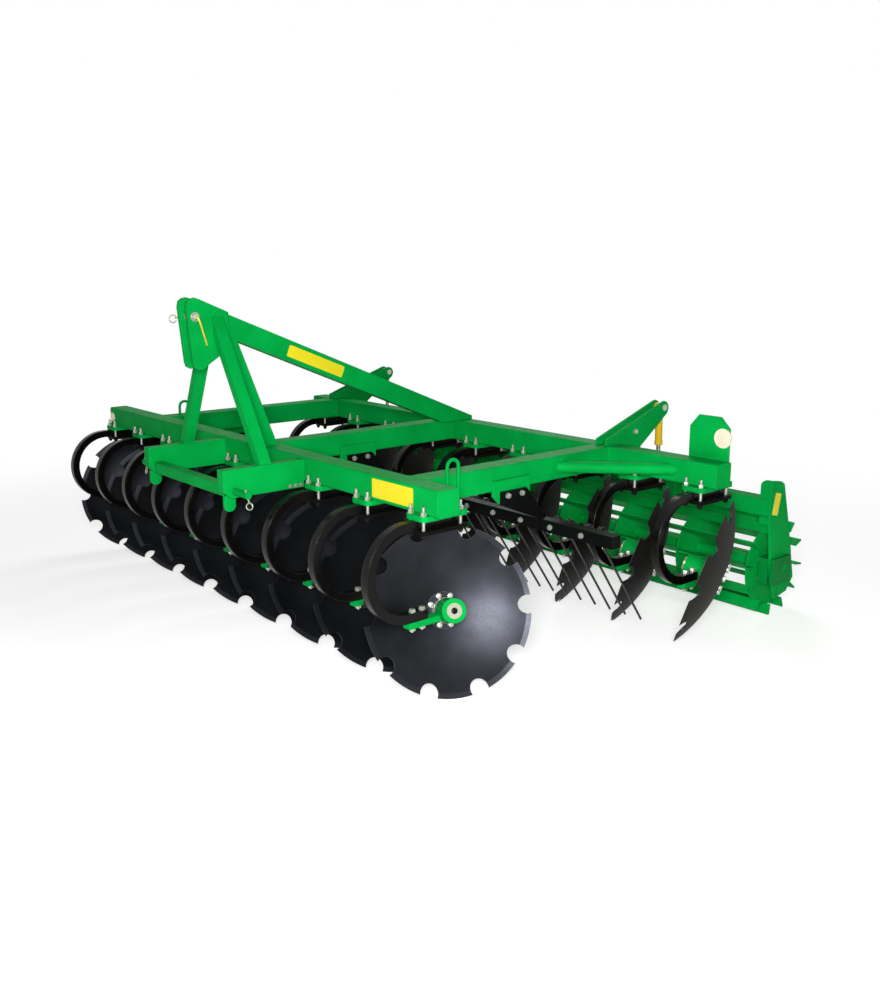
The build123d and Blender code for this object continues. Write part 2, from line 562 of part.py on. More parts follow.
pins = []
for sign in (1, -1):
    x = sign * SIDE_BEAM_X
    reach = BRACKET_GAP / 2 + BRACKET_T
    pins.append(cyl_between((x - reach, PIVOT_Y, up(PIVOT_DROP)), (x + reach, PIVOT_Y, up(PIVOT_DROP)), PIVOT_R))
    pins.append(cyl_between((x - reach, BRACKET_TIP_Y, up(-BRACKET_TIP_UP)),
                            (x + reach, BRACKET_TIP_Y, up(-BRACKET_TIP_UP)), SPINDLE_PIN_R))
keep("bracket_pins", *pins)

# ------------------------------------------------------------- adjusting spindles
for name, sign in (("left", 1), ("right", -1)):
    x = sign * SIDE_BEAM_X
    top = Vector(x, BRACKET_TIP_Y, up(-BRACKET_TIP_UP))
    foot = Vector(x, SPINDLE_FOOT_Y, up(SPINDLE_FOOT_DROP))
    along = (foot - top).normalized()
    length = (foot - top).length
    eye = cyl_between((x - 17, top.Y, top.Z), (x + 17, top.Y, top.Z), 20)
    tube = cyl_between(tuple(top + along * 12), tuple(top + along * (length - 104)), SPINDLE_R)
    tube += eye
    tube -= cyl_between((x - 40, top.Y, top.Z), (x + 40, top.Y, top.Z), SPINDLE_PIN_R + AXLE_FIT)
    tube -= cyl_between(tuple(top + along * 60), tuple(foot), SPINDLE_ROD_R + AXLE_FIT)
    keep("spindle_tube_" + name, tube)
    rod = cyl_between(tuple(top + along * 130), tuple(foot), SPINDLE_ROD_R)
    rod += cyl_between((x - 9, foot.Y, foot.Z), (x + 9, foot.Y, foot.Z), 18)
    rod -= cyl_between((x - 40, foot.Y, foot.Z), (x + 40, foot.Y, foot.Z), SPINDLE_PIN_R + 1.5)
    keep("spindle_rod_" + name, rod)
foot_pins = []
for sign in (1, -1):
    x = sign * SIDE_BEAM_X
    foot_pins.append(cyl_between((x - 24, SPINDLE_FOOT_Y, up(SPINDLE_FOOT_DROP)),
                                 (x + 24, SPINDLE_FOOT_Y, up(SPINDLE_FOOT_DROP)), SPINDLE_PIN_R))
keep("spindle_foot_pins", *foot_pins)

# ------------------------------------------------------------- reflector plate
MARKER_W, MARKER_H = 192.0, 177.0
MARKER_T = 6.0
MARKER_LAP = 70.0
mark_x = REAR_BEAM_LEFT - 14
mark_y = REAR_Y + HALF
mark_points = [(mark_x, mark_y, up(MARKER_LAP)), (mark_x, mark_y, up(45 - MARKER_H)),
               (mark_x - 45, mark_y, up(-MARKER_H)), (mark_x - MARKER_W + 42, mark_y, up(-MARKER_H)),
               (mark_x - MARKER_W, mark_y, up(50 - MARKER_H)), (mark_x - MARKER_W, mark_y, up(MARKER_LAP))]
keep("marker_plate", extrude(make_face(Polyline(*mark_points, close=True)), MARKER_T, dir=(0, 1, 0)))

# ------------------------------------------------------------- origin and files
everything = Compound(children=[Compound(solids) for solids in nodes.values()])
box = everything.bounding_box()
SHIFT = Vector(-(box.min.X + box.max.X) / 2, -(box.min.Y + box.max.Y) / 2, -box.min.Z)

if __name__ == "__main__":
    os.makedirs("parts", exist_ok=True)
    for name, solids in nodes.items():
        placed = [Pos(SHIFT) * solid for solid in solids]
        export_step(placed[0] if len(placed) == 1 else Compound(children=placed), "parts/%s.step" % name)
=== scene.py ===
import json
import math

import bmesh
import bpy
from mathutils import Matrix, Vector


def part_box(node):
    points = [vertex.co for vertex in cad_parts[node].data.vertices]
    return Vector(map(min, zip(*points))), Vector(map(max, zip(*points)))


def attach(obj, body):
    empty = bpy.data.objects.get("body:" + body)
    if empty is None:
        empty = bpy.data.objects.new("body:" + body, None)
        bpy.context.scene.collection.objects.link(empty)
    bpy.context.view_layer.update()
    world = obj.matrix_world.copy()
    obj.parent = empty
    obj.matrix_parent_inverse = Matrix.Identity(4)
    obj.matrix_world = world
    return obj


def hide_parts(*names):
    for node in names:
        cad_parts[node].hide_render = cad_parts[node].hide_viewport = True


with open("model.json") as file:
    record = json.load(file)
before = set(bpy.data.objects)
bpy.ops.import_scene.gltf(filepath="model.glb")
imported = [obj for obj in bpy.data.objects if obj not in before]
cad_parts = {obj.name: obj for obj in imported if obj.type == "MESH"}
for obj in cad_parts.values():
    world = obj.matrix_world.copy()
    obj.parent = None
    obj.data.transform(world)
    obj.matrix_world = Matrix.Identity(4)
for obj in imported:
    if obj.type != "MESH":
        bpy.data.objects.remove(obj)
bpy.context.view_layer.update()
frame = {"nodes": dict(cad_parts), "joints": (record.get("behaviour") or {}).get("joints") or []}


# ---------------------------------------------------------------- main frame
# Five square tubes and a round corner brace, cut to length and welded into a rectangle. The
# whole frame is sprayed with green alkyd enamel after welding, which leaves a glossy film
# with faint orange peel; its corners are painted lighter, for thin film and painted highlight.
front_low, front_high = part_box("front_beam")
middle_low, middle_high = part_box("centre_beam")
MIDDLE = (middle_low.x + middle_high.x) / 2
FRONT = (front_low.y + front_high.y) / 2
TOP = front_high.z


def at(across, back, up):
    """Point given in millimetres from the frame's middle, its front beam and the beams' top."""
    return Vector((MIDDLE + across / 1000, FRONT + back / 1000, TOP + up / 1000))


def linear(colour):
    """Linear colour of an sRGB hex value."""
    parts = [int(colour[i:i + 2], 16) / 255 for i in (1, 3, 5)]
    return [p / 12.92 if p < 0.04045 else ((p + 0.055) / 1.055) ** 2.4 for p in parts] + [1.0]


def add(material, kind, sockets={}, **settings):
    """Adds a node with its settings, and sets or links each of its sockets."""
    node = material.node_tree.nodes.new("ShaderNode" + kind)
    for name, value in settings.items():
        setattr(node, name, value)
    for name, value in sockets.items():
        if isinstance(value, bpy.types.NodeSocket):
            material.node_tree.links.new(value, node.inputs[name])
        else:
            node.inputs[name].default_value = value
    return node


def enamelled(name, film, deep, pale_and_highlit_edge, rough, specular, fillet=3.0):
    """Sprayed enamel: the film's colour drifts over a hand's width, and its edges are paler, partly for the thin
    film and partly as a painted highlight.

    Noise of about 150 mm moves the colour, noise of 5 mm is the orange peel, and the bevel
    node finds the corners and rounds them by the fillet, in millimetres. Upward faces carry
    a trace of dust."""
    paint = bpy.data.materials.new(name)
    paint.use_nodes = True
    shader = paint.node_tree.nodes["Principled BSDF"]
    place = add(paint, "TexCoord").outputs["Object"]
    drift = add(paint, "TexNoise", {"Vector": place, "Scale": 6.5, "Detail": 3.0}).outputs["Fac"]
    cloud = add(paint, "TexNoise", {"Vector": place, "Scale": 42.0, "Detail": 4.0}).outputs["Fac"]
    peel = add(paint, "TexNoise", {"Vector": place, "Scale": 200.0, "Detail": 1.0}).outputs["Fac"]
    shade = add(paint, "MapRange", {"Value": drift, "From Min": 0.3, "From Max": 0.7}).outputs["Result"]
    colour = add(paint, "Mix", {0: shade, 6: linear(deep), 7: linear(film)}, data_type="RGBA").outputs[2]
    surface = add(paint, "NewGeometry")
    turned = add(paint, "Bevel", {"Radius": fillet / 1000}, samples=4).outputs["Normal"]
    sharp = add(paint, "VectorMath", {0: turned, 1: surface.outputs["Normal"]}, operation="DOT_PRODUCT")
    corner = add(paint, "MapRange", {"Value": sharp.outputs["Value"], "From Min": 0.985,
                                     "From Max": 0.86}).outputs["Result"]
    # Corners take the edge colour: the film is thin there, and the lighter colour is also a painted highlight.
    thin_film_and_highlight = add(paint, "Math", {0: corner, 1: cloud}, operation="MULTIPLY").outputs["Value"]
    colour = add(paint, "Mix", {0: thin_film_and_highlight, 6: colour, 7: linear(pale_and_highlit_edge)}, data_type="RGBA").outputs[2]
    upward = add(paint, "SeparateXYZ", {"Vector": surface.outputs["Normal"]}).outputs["Z"]
    flat = add(paint, "MapRange", {"Value": upward, "From Min": 0.8, "From Max": 1.0}).outputs["Result"]
    patch = add(paint, "MapRange", {"Value": cloud, "From Min": 0.45, "From Max": 0.75,
                                    "To Max": 0.03}).outputs["Result"]
    dusty = add(paint, "Math", {0: flat, 1: patch}, operation="MULTIPLY").outputs["Value"]
    colour = add(paint, "Mix", {0: dusty, 6: colour, 7: linear("#77805a")}, data_type="RGBA").outputs[2]
    dull = add(paint, "MapRange", {"Value": cloud, "From Min": 0.3, "From Max": 0.7,
                                   "To Min": rough - 0.05, "To Max": rough + 0.07}).outputs["Result"]
    dull = add(paint, "Math", {0: dusty, 1: dull}, operation="ADD").outputs["Value"]
    wave = add(paint, "Bump", {"Height": drift, "Strength": 0.08, "Distance": 0.002,
                               "Normal": turned}).outputs["Normal"]
    skin = add(paint, "Bump", {"Height": peel, "Strength": 0.05, "Distance": 0.0005, "Normal": wave})
    paint.node_tree.links.new(colour, shader.inputs["Base Color"])
    paint.node_tree.links.new(dull, shader.inputs["Roughness"])
    paint.node_tree.links.new(skin.outputs["Normal"], shader.inputs["Normal"])
    shader.inputs["Specular IOR Level"].default_value = specular
    return paint


def coated(finish, *names):
    """Gives CAD nodes their finish."""
    for name in names:
        node = frame["nodes"][name]
        node.data.materials.clear()
        node.data.materials.append(finish)


# Alkyd enamel: saturated green, with soft broad reflections. Film, deep and edge colours,
# then roughness and specular level; the edge colour is thin film and painted highlight.
GREEN = ("#05ae4a", "#049c40", "#1fae62", 0.42, 0.015)
green_enamel = enamelled("green_alkyd_enamel", *GREEN)
coated(green_enamel, "front_beam", "rear_beam", "side_beam_left", "side_beam_right", "centre_beam",
       "corner_brace", "lifting_eyes")


# ---------------------------------------------------------------- frame welds
# Fillet welds along the joints of the frame, hitch and brackets. Each is one run of metal
# laid by hand, so its bead swells and shrinks at every ripple, under the same enamel.
def seat(point, direction):
    """Stands a shape on a point, its own Z axis along a direction."""
    return Matrix.Translation(point) @ Vector(direction).to_track_quat("Z", "Y").to_matrix().to_4x4()


def edges_of(corners):
    """Every edge that ends at one of the corners."""
    return list({e for v in corners for e in v.link_edges})


def drawn_out(bm, edges):
    """Extrudes a ring of edges on the spot, and gives the new ring's corners and edges."""
    grown = bmesh.ops.extrude_edge_only(bm, edges=edges)["geom"]
    return ([g for g in grown if isinstance(g, bmesh.types.BMVert)],
            [g for g in grown if isinstance(g, bmesh.types.BMEdge) and g.is_boundary])


RIPPLE, SWOLLEN, PINCHED = 6, 1.18, 0.85


def weld(bm, points, size=4.0, closed=False):
    """Draws a round rippled bead along points in millimetres; the size is its radius."""
    path = [at(*p) for p in points]
    if closed:
        path.append(path[0])
    for start, end in zip(path, path[1:]):
        along = end - start
        steps = max(2, round(along.length * 1000 / RIPPLE))
        ring = bmesh.ops.create_circle(bm, cap_ends=True, segments=6, radius=size / 1000,
                                       matrix=seat(start, along))["verts"]
        edges = edges_of(ring)
        for i in range(steps):
            ring, edges = drawn_out(bm, edges)
            bmesh.ops.translate(bm, vec=along / steps, verts=ring)
            centre = start + along * ((i + 1) / steps)
            swell = SWOLLEN if i % 2 else PINCHED
            bmesh.ops.scale(bm, vec=(swell, swell, swell), space=Matrix.Translation(-centre), verts=ring)
        bmesh.ops.contextual_create(bm, geom=edges)


def weld_round(bm, low, high, size=4.0):
    """Closed bead round a rectangle, which two opposite corners in one plane give."""
    first = next(i for i in range(3) if low[i] != high[i])
    after_low, after_high = list(low), list(high)
    after_low[first], after_high[first] = high[first], low[first]
    weld(bm, [low, after_low, high, after_high], size, closed=True)


def made(name, bm, finish, body, angle=35):
    """Turns a finished bmesh into a piece that rides on a body."""
    bmesh.ops.recalc_face_normals(bm, faces=bm.faces)
    mesh = bpy.data.meshes.new(name)
    bm.to_mesh(mesh)
    bm.free()
    mesh.polygons.foreach_set("use_smooth", [True] * len(mesh.polygons))
    mesh.set_sharp_from_angle(angle=math.radians(angle))
    mesh.materials.append(finish)
    piece = bpy.data.objects.new(name, mesh)
    bpy.context.scene.collection.objects.link(piece)
    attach(piece, body)
    return piece


SIDE_X, BEAM_HALF, REAR_Y = 1035, 50, 1144
FRONT_ENDS, REAR_ENDS, CAP_IN = (-1542, 1270), (-1225, 1634), 5
EYE_LEGS_Y, EYE_LEG_R = (147, 203), 7
seams = bmesh.new()
# The three lengthwise tubes against the two beams.
for x in (SIDE_X, 0, -SIDE_X):
    for y in (BEAM_HALF - 1, REAR_Y - BEAM_HALF + 1):
        weld_round(seams, (x - 49, y, -3), (x + 49, y, -97))
# The caps in the beams' open ends, along three sides.
for (right, left), y in ((FRONT_ENDS, 0), (REAR_ENDS, REAR_Y)):
    for x in (right + CAP_IN, left - CAP_IN):
        weld(seams, [(x, y - 44, -1), (x, y + 44, -1)], size=2.2)
        for side_y in (y - 49, y + 49):
            weld(seams, [(x, side_y, -6), (x, side_y, -94)], size=2.2)
# The corner brace's two ends, and both legs of each lifting eye.
weld_round(seams, (1086, 793, -28), (1086, 829, -72))
weld_round(seams, (1392, 1093, -28), (1428, 1093, -72))
for x in (SIDE_X + BEAM_HALF, -SIDE_X - BEAM_HALF):
    for leg_y in EYE_LEGS_Y:
        for y in (leg_y - EYE_LEG_R, leg_y + EYE_LEG_R):
            weld(seams, [(x, y, -8), (x, y, -86)], size=2.5)


# ---------------------------------------------------------------- spring legs
# C-shaped legs of 35 mm square spring steel, bent hot, tempered and dipped in black enamel,
# so they are the glossiest part, with long highlights round the bend.
black_gloss = enamelled("black_dipped_enamel", "#0d0c0b", "#080707", "#2a2722", 0.22, 0.12, 9.0)
coated(black_gloss, "front_legs", "rear_legs")


# ---------------------------------------------------------------- clamps
# Each leg is held under its beam by two flame-cut plates and four studs, which stand beside
# the beam. The upper plate is green, and its studs, nuts and washers are zinc plated. The
# lower plate and its nuts are black, as painted shade under the beam.
zinc = bpy.data.materials.new("zinc_plated_steel")
zinc.use_nodes = True
zinc_shader = zinc.node_tree.nodes["Principled BSDF"]
zinc_place = add(zinc, "TexCoord").outputs["Object"]
# Plating is a bright grey with a trace of green, dull in spots about 4 mm wide where it was
# handled, and darker in patches about 17 mm wide.
spangle = add(zinc, "TexNoise", {"Vector": zinc_place, "Scale": 240.0, "Detail": 3.0}).outputs["Fac"]
tarnish = add(zinc, "TexNoise", {"Vector": zinc_place, "Scale": 60.0, "Detail": 2.0}).outputs["Fac"]
plated = add(zinc, "Mix", {0: tarnish, 6: linear("#c6cbc3"), 7: linear("#a3a898")}, data_type="RGBA")
handled = add(zinc, "MapRange", {"Value": spangle, "From Min": 0.3, "From Max": 0.7, "To Min": 0.24,
                                 "To Max": 0.44})
grainy = add(zinc, "Bump", {"Height": spangle, "Strength": 0.1, "Distance": 0.0003})
zinc.node_tree.links.new(plated.outputs[2], zinc_shader.inputs["Base Color"])
zinc.node_tree.links.new(handled.outputs["Result"], zinc_shader.inputs["Roughness"])
zinc.node_tree.links.new(grainy.outputs["Normal"], zinc_shader.inputs["Normal"])
zinc_shader.inputs["Metallic"].default_value = 0.65


def turned_bar(bm, low_r, high_r, length, place, segments=24):
    """Straight or tapered bar about its own middle, in millimetres; gives its corners."""
    return bmesh.ops.create_cone(bm, cap_ends=True, segments=segments, radius1=low_r / 1000,
                                 radius2=high_r / 1000, depth=length / 1000, matrix=place)["verts"]


def rounded(bm, edges, radius, segments=2):
    """Rounds edges by a radius in millimetres."""
    bmesh.ops.bevel(bm, geom=list(edges), offset=radius / 1000, offset_type="OFFSET", segments=segments,
                    profile=0.5, affect="EDGES", material=-1)


WASHER = 2.5


def hexagon(bm, across, height, base=0.0):
    """Nut or bolt head with chamfered corners on a washer; sizes in millimetres."""
    turned_bar(bm, across * 0.62, across * 0.62, WASHER,
               Matrix.Translation((0, 0, (base + WASHER / 2) / 1000)), 18)
    head = turned_bar(bm, across * 0.577, across * 0.577, height,
                      Matrix.Translation((0, 0, (base + WASHER + height / 2) / 1000)), 6)
    top = (base + WASHER + height) / 1000
    rounded(bm, {e for e in edges_of(head) if all(v.co.z > top - 1e-5 for v in e.verts)}, across * 0.08)


def thread(bm, radius, low, high, pitch=4.0):
    """Threaded bar drawn out ring by ring; the real pitch of 2 mm is too fine to show."""
    ring = bmesh.ops.create_circle(bm, cap_ends=True, segments=10, radius=radius / 1000,
                                   matrix=Matrix.Translation((0, 0, low / 1000)))["verts"]
    edges, steps, root = edges_of(ring), max(2, 2 * round((high - low) / pitch)), 0.9
    for i in range(steps):
        ring, edges = drawn_out(bm, edges)
        bmesh.ops.translate(bm, vec=(0, 0, (high - low) / steps / 1000), verts=ring)
        swell = root if i % 2 == 0 else 1 / root
        bmesh.ops.scale(bm, vec=(swell, swell, 1), verts=ring)
    bmesh.ops.contextual_create(bm, geom=edges)


def stamped(name, pattern, places, finish, body):
    """One piece made of copies of a small bmesh, one at each place."""
    small = bpy.data.meshes.new(name + "_pattern")
    pattern.to_mesh(small)
    pattern.free()
    whole = bmesh.new()
    for place in places:
        before = len(whole.verts)
        whole.from_mesh(small)
        whole.verts.ensure_lookup_table()
        bmesh.ops.transform(whole, matrix=place, verts=whole.verts[before:])
    bpy.data.meshes.remove(small)
    return made(name, whole, finish, body)


DISCS, DISC_PITCH, FRONT_FIRST, REAR_FIRST = 9, 1000 / 3, 1167, 1538
stations = {"front": ([FRONT_FIRST - DISC_PITCH * i for i in range(DISCS)], 0),
            "rear": ([REAR_FIRST - DISC_PITCH * i for i in range(DISCS)], REAR_Y)}
BEAM_LOW, KEEPER_LOW, BETWEEN_PLATES = -100, -169, TOP - 0.1375
STUD_R, STUDS = 6.5, [(dx, dy) for dx in (-36, 36) for dy in (-62, 115)]
# The upper plate has the frame's green enamel, and below the joint the lower one is black,
# as painted shade under the beam.
clamp_enamel = enamelled("clamp_plate_enamel", *GREEN)
clamp_shader = clamp_enamel.node_tree.nodes["Principled BSDF"]
clamp_height = add(clamp_enamel, "SeparateXYZ", {"Vector": add(clamp_enamel, "TexCoord").outputs["Object"]})
# Painted shade: below the joint the plate turns near black.
painted_shade_below = add(clamp_enamel, "Math", {0: clamp_height.outputs["Z"], 1: BETWEEN_PLATES}, operation="LESS_THAN")
sprayed = clamp_shader.inputs["Base Color"].links[0].from_socket
green_over_painted_shade = add(clamp_enamel, "Mix", {0: painted_shade_below.outputs["Value"], 6: sprayed, 7: linear("#121110")},
               data_type="RGBA").outputs[2]
clamp_enamel.node_tree.links.new(green_over_painted_shade, clamp_shader.inputs["Base Color"])
coated(clamp_enamel, "front_clamps", "rear_clamps")
for row, (across, beam_y) in stations.items():
    stud = bmesh.new()
    thread(stud, STUD_R, KEEPER_LOW + 7, BEAM_LOW + 33)
    hexagon(stud, 20, 11, base=BEAM_LOW)
    low_nut = bmesh.new()
    hexagon(low_nut, 20, 11)
    thread(low_nut, STUD_R, 10, 19)
    spots = [(x + dx, beam_y + dy) for x in across for dx, dy in STUDS]
    stamped(row + "_clamp_studs", stud, [Matrix.Translation(at(x, y, 0)) for x, y in spots],
            zinc, "frame")
    # The lock nuts under the lower plate take the legs' black as painted shade.
    stamped(row + "_clamp_lock_nuts", low_nut, [seat(at(x, y, KEEPER_LOW), (0, 0, -1)) for x, y in spots],
            black_gloss, "frame")


# ---------------------------------------------------------------- hub carriers
# Forged arm with a turned boss, bolted under each leg's tail with two bolts. The hub's
# fixed axle is pressed into the boss, and a pale stamped cap closes the boss's outer end.
coated(green_enamel, "front_carriers", "rear_carriers")


def mottled(name, per_metre, detail, tones, gloss, strength, depth, metallic=0.0):
    """Finish whose tone, roughness and fine relief all follow one noise.

    The noise has so many grains per metre, and the relief's depth is in millimetres. Tones
    and gloss are given from the noise's low end to its high end."""
    finish = bpy.data.materials.new(name)
    finish.use_nodes = True
    shader = finish.node_tree.nodes["Principled BSDF"]
    place = add(finish, "TexCoord").outputs["Object"]
    noise = add(finish, "TexNoise", {"Vector": place, "Scale": per_metre, "Detail": detail}).outputs["Fac"]
    tone = add(finish, "Mix", {0: noise, 6: linear(tones[0]), 7: linear(tones[1])}, data_type="RGBA")
    dull = add(finish, "MapRange", {"Value": noise, "To Min": gloss[0], "To Max": gloss[1]})
    bump = add(finish, "Bump", {"Height": noise, "Strength": strength, "Distance": depth / 1000})
    finish.node_tree.links.new(tone.outputs[2], shader.inputs["Base Color"])
    finish.node_tree.links.new(dull.outputs["Result"], shader.inputs["Roughness"])
    finish.node_tree.links.new(bump.outputs["Normal"], shader.inputs["Normal"])
    shader.inputs["Metallic"].default_value = metallic
    return finish


def stepped(bm, radius, height, steps, segments):
    """Round face that is inset and then lifted, step by step; sizes in millimetres."""
    corners = bmesh.ops.create_circle(bm, cap_ends=True, segments=segments, radius=radius / 1000,
                                      matrix=Matrix.Translation((0, 0, height / 1000)))["verts"]
    face = corners[0].link_faces[0]
    for inset, lift in steps:
        if inset:
            bmesh.ops.inset_region(bm, faces=[face], thickness=inset / 1000, use_even_offset=True)
        if lift:
            face = bmesh.ops.extrude_discrete_faces(bm, faces=[face])["faces"][0]
            bmesh.ops.translate(bm, vec=(0, 0, lift / 1000), verts=face.verts)


# Pressed steel cap, zinc plated and passivated: pale grey-beige and nearly matt, with a
# bloom about 11 mm wide.
cap_steel = mottled("passivated_cap_steel", 90, 4, ("#a9b094", "#868c76"), (0.32, 0.55), 0.12, 0.5, 0.4)
spins = {j["child"]: (Vector(j["pos_m"]), Vector(j["axis"])) for j in frame["joints"]
         if j["name"].endswith("_spin") and j["name"] != "roller_spin"}
BOSS_END, CAP_R, CAP_STEPS = 160, 29, ((0, 6), (3, 2), (10, 0), (2, -4))
LEG_TAIL_TOP, CARRIER_LOW, TAIL_BOLTS_Y = -462, -521, (-88, -41)
for row, (across, beam_y) in stations.items():
    boss_places = [seat(*spins["disc_%s_%d" % (row, i + 1)]) for i in range(DISCS)]
    cap = bmesh.new()
    stepped(cap, CAP_R, BOSS_END, CAP_STEPS, 32)
    stamped(row + "_boss_caps", cap, boss_places, cap_steel, "frame")
    # The plug is black as painted shade, standing for the dark recess in the cap's middle.
    plug = bmesh.new()
    hexagon(plug, 22, 4, base=BOSS_END + 1)
    stamped(row + "_boss_plugs", plug, boss_places, black_gloss, "frame")
    tail_bolt = bmesh.new()
    hexagon(tail_bolt, 22, 10, base=LEG_TAIL_TOP)
    thread(tail_bolt, 6, CARRIER_LOW - 18, CARRIER_LOW + 2)
    tail_nut = bmesh.new()
    hexagon(tail_nut, 22, 11)
    spots = [(x, beam_y + y) for x in across for y in TAIL_BOLTS_Y]
    stamped(row + "_tail_bolts", tail_bolt, [Matrix.Translation(at(x, y, 0)) for x, y in spots],
            zinc, "frame")
    stamped(row + "_tail_nuts", tail_nut, [seat(at(x, y, CARRIER_LOW), (0, 0, -1)) for x, y in spots],
            zinc, "frame")


# ---------------------------------------------------------------- discs
# Notched blades of boron steel, pressed hot, tempered and lacquered dark, with a ground
# edge. Eight bolts hold each to its hub flange; a lip seal closes the gap to the fixed boss.
def blade(name, axis):
    """Tempered boron steel: lacquered on the hollow side; the back is matt, and its near-black colour is painted
    shade.
    """
    steel = bpy.data.materials.new(name)
    steel.use_nodes = True
    shader = steel.node_tree.nodes["Principled BSDF"]
    place = add(steel, "TexCoord").outputs["Object"]
    # Tempering leaves blue-black clouds some 100 mm wide; rolling scale gives a fine mottle.
    clouds = add(steel, "TexNoise", {"Vector": place, "Scale": 9.0, "Detail": 4.0}).outputs["Fac"]
    scale = add(steel, "TexNoise", {"Vector": place, "Scale": 130.0, "Detail": 5.0}).outputs["Fac"]
    temper = add(steel, "MapRange", {"Value": clouds, "From Min": 0.32, "From Max": 0.68}).outputs["Result"]
    tone = add(steel, "Mix", {0: temper, 6: linear("#27292c"), 7: linear("#313238")}, data_type="RGBA").outputs[2]
    surface = add(steel, "NewGeometry").outputs["Normal"]
    turned = add(steel, "Bevel", {"Radius": 0.003}, samples=4).outputs["Normal"]
    sharp = add(steel, "VectorMath", {0: turned, 1: surface}, operation="DOT_PRODUCT").outputs["Value"]
    ground = add(steel, "MapRange", {"Value": sharp, "From Min": 0.97, "From Max": 0.8,
                                     "To Max": 0.5}).outputs["Result"]
    tone = add(steel, "Mix", {0: ground, 6: tone, 7: linear("#6c6d71")}, data_type="RGBA").outputs[2]
    dull = add(steel, "MapRange", {"Value": scale, "From Min": 0.3, "From Max": 0.7, "To Min": 0.36,
                                   "To Max": 0.40}).outputs["Result"]
    # The two sides differ by which way they face along the disc's own axle; the back's dark colour is painted
    # shade.
    facing_out = add(steel, "VectorMath", {0: surface, 1: axis}, operation="DOT_PRODUCT").outputs["Value"]
    hollow = add(steel, "MapRange", {"Value": facing_out, "From Min": -0.05, "From Max": 0.05}).outputs["Result"]
    # Painted shade: the back, which faces away from the light, is coloured near black.
    painted_shade_back = add(steel, "Mix", {0: scale, 6: linear("#0f0e0d"), 7: linear("#1d1b19")}, data_type="RGBA").outputs[2]
    tone = add(steel, "Mix", {0: hollow, 6: painted_shade_back, 7: tone}, data_type="RGBA").outputs[2]
    dull = add(steel, "Mix", {0: hollow, 2: 0.6, 3: dull}).outputs[0]
    skin = add(steel, "Bump", {"Height": scale, "Strength": 0.06, "Distance": 0.0003}).outputs["Normal"]
    steel.node_tree.links.new(tone, shader.inputs["Base Color"])
    steel.node_tree.links.new(dull, shader.inputs["Roughness"])
    steel.node_tree.links.new(hollow, shader.inputs["Metallic"])
    steel.node_tree.links.new(skin, shader.inputs["Normal"])
    shader.inputs["Specular IOR Level"].default_value = 0.1
    return steel


# Nitrile rubber: black and matt, with the faint bloom of a moulded lip.
rubber = bpy.data.materials.new("nitrile_rubber")
rubber.use_nodes = True
rubber_shader = rubber.node_tree.nodes["Principled BSDF"]
rubber_place = add(rubber, "TexCoord").outputs["Object"]
rubber_bloom = add(rubber, "TexNoise", {"Vector": rubber_place, "Scale": 160.0, "Detail": 3.0}).outputs["Fac"]
rubber_tone = add(rubber, "Mix", {0: rubber_bloom, 6: linear("#141414"), 7: linear("#262522")}, data_type="RGBA")
rubber_bump = add(rubber, "Bump", {"Height": rubber_bloom, "Strength": 0.15, "Distance": 0.0004})
rubber.node_tree.links.new(rubber_tone.outputs[2], rubber_shader.inputs["Base Color"])
rubber.node_tree.links.new(rubber_bump.outputs["Normal"], rubber_shader.inputs["Normal"])
rubber_shader.inputs["Roughness"].default_value = 0.7
# Turned steel of the hub's barrel: bright, with a fine mottle about 3 mm wide.
turned_steel = mottled("turned_steel", 320, 4, ("#dcdcd6", "#b6b6ae"), (0.28, 0.44), 0.15, 0.3, 0.4)
FLANGE_TOP, BARREL_R, BARREL_END, BLADE_BACK = 12, 48, 47, -6
FLANGE_BOLTS, BOLT_CIRCLE, FIRST_BOLT = 8, 58.5, 20
LIP_BACK_R, LIP_FRONT_R, LIP_THICK, LIP_AT = 43, 40, 4.6, 49.5
for row in stations:
    disc_steel = blade(row + "_tempered_boron_steel", spins["disc_%s_1" % row][1])
    for i in range(DISCS):
        disc = "disc_%s_%d" % (row, i + 1)
        place = seat(*spins[disc])
        coated(disc_steel, disc)
        ring = [Matrix.Rotation(math.radians(360 / FLANGE_BOLTS * k + FIRST_BOLT), 4, "Z")
                @ Matrix.Translation((BOLT_CIRCLE / 1000, 0, 0)) for k in range(FLANGE_BOLTS)]
        bolt = bmesh.new()
        hexagon(bolt, 17, 8, base=FLANGE_TOP)
        flange_nut = bmesh.new()
        hexagon(flange_nut, 19, 9)
        stamped(disc + "_bolts", bolt, [place @ r for r in ring], zinc, disc)
        sleeve = bmesh.new()
        wall = bmesh.ops.create_circle(sleeve, segments=40, radius=(BARREL_R + 0.7) / 1000,
                                       matrix=Matrix.Translation((0, 0, (FLANGE_TOP + 0.4) / 1000)))["verts"]
        far_rim = drawn_out(sleeve, edges_of(wall))[0]
        bmesh.ops.translate(sleeve, vec=(0, 0, (BARREL_END - FLANGE_TOP - 0.5) / 1000), verts=far_rim)
        bmesh.ops.recalc_face_normals(sleeve, faces=sleeve.faces)
        bmesh.ops.solidify(sleeve, geom=list(sleeve.faces), thickness=0.0006)
        stamped(disc + "_sleeve", sleeve, [place], turned_steel, disc)
        stamped(disc + "_nuts", flange_nut, [place @ r @ Matrix.Translation((0, 0, BLADE_BACK / 1000))
                @ Matrix.Rotation(math.pi, 4, "X") for r in ring], zinc, disc)
    lip = bmesh.new()
    turned_bar(lip, LIP_BACK_R, LIP_FRONT_R, LIP_THICK, Matrix.Translation((0, 0, LIP_AT / 1000)), 32)
    rounded(lip, [e for e in lip.edges if e.calc_length() < 0.02 and not e.is_boundary], 0.8, 1)
    stamped(row + "_lip_seals", lip, [seat(*spins["disc_%s_%d" % (row, i + 1)]) for i in range(DISCS)],
            rubber, "frame")


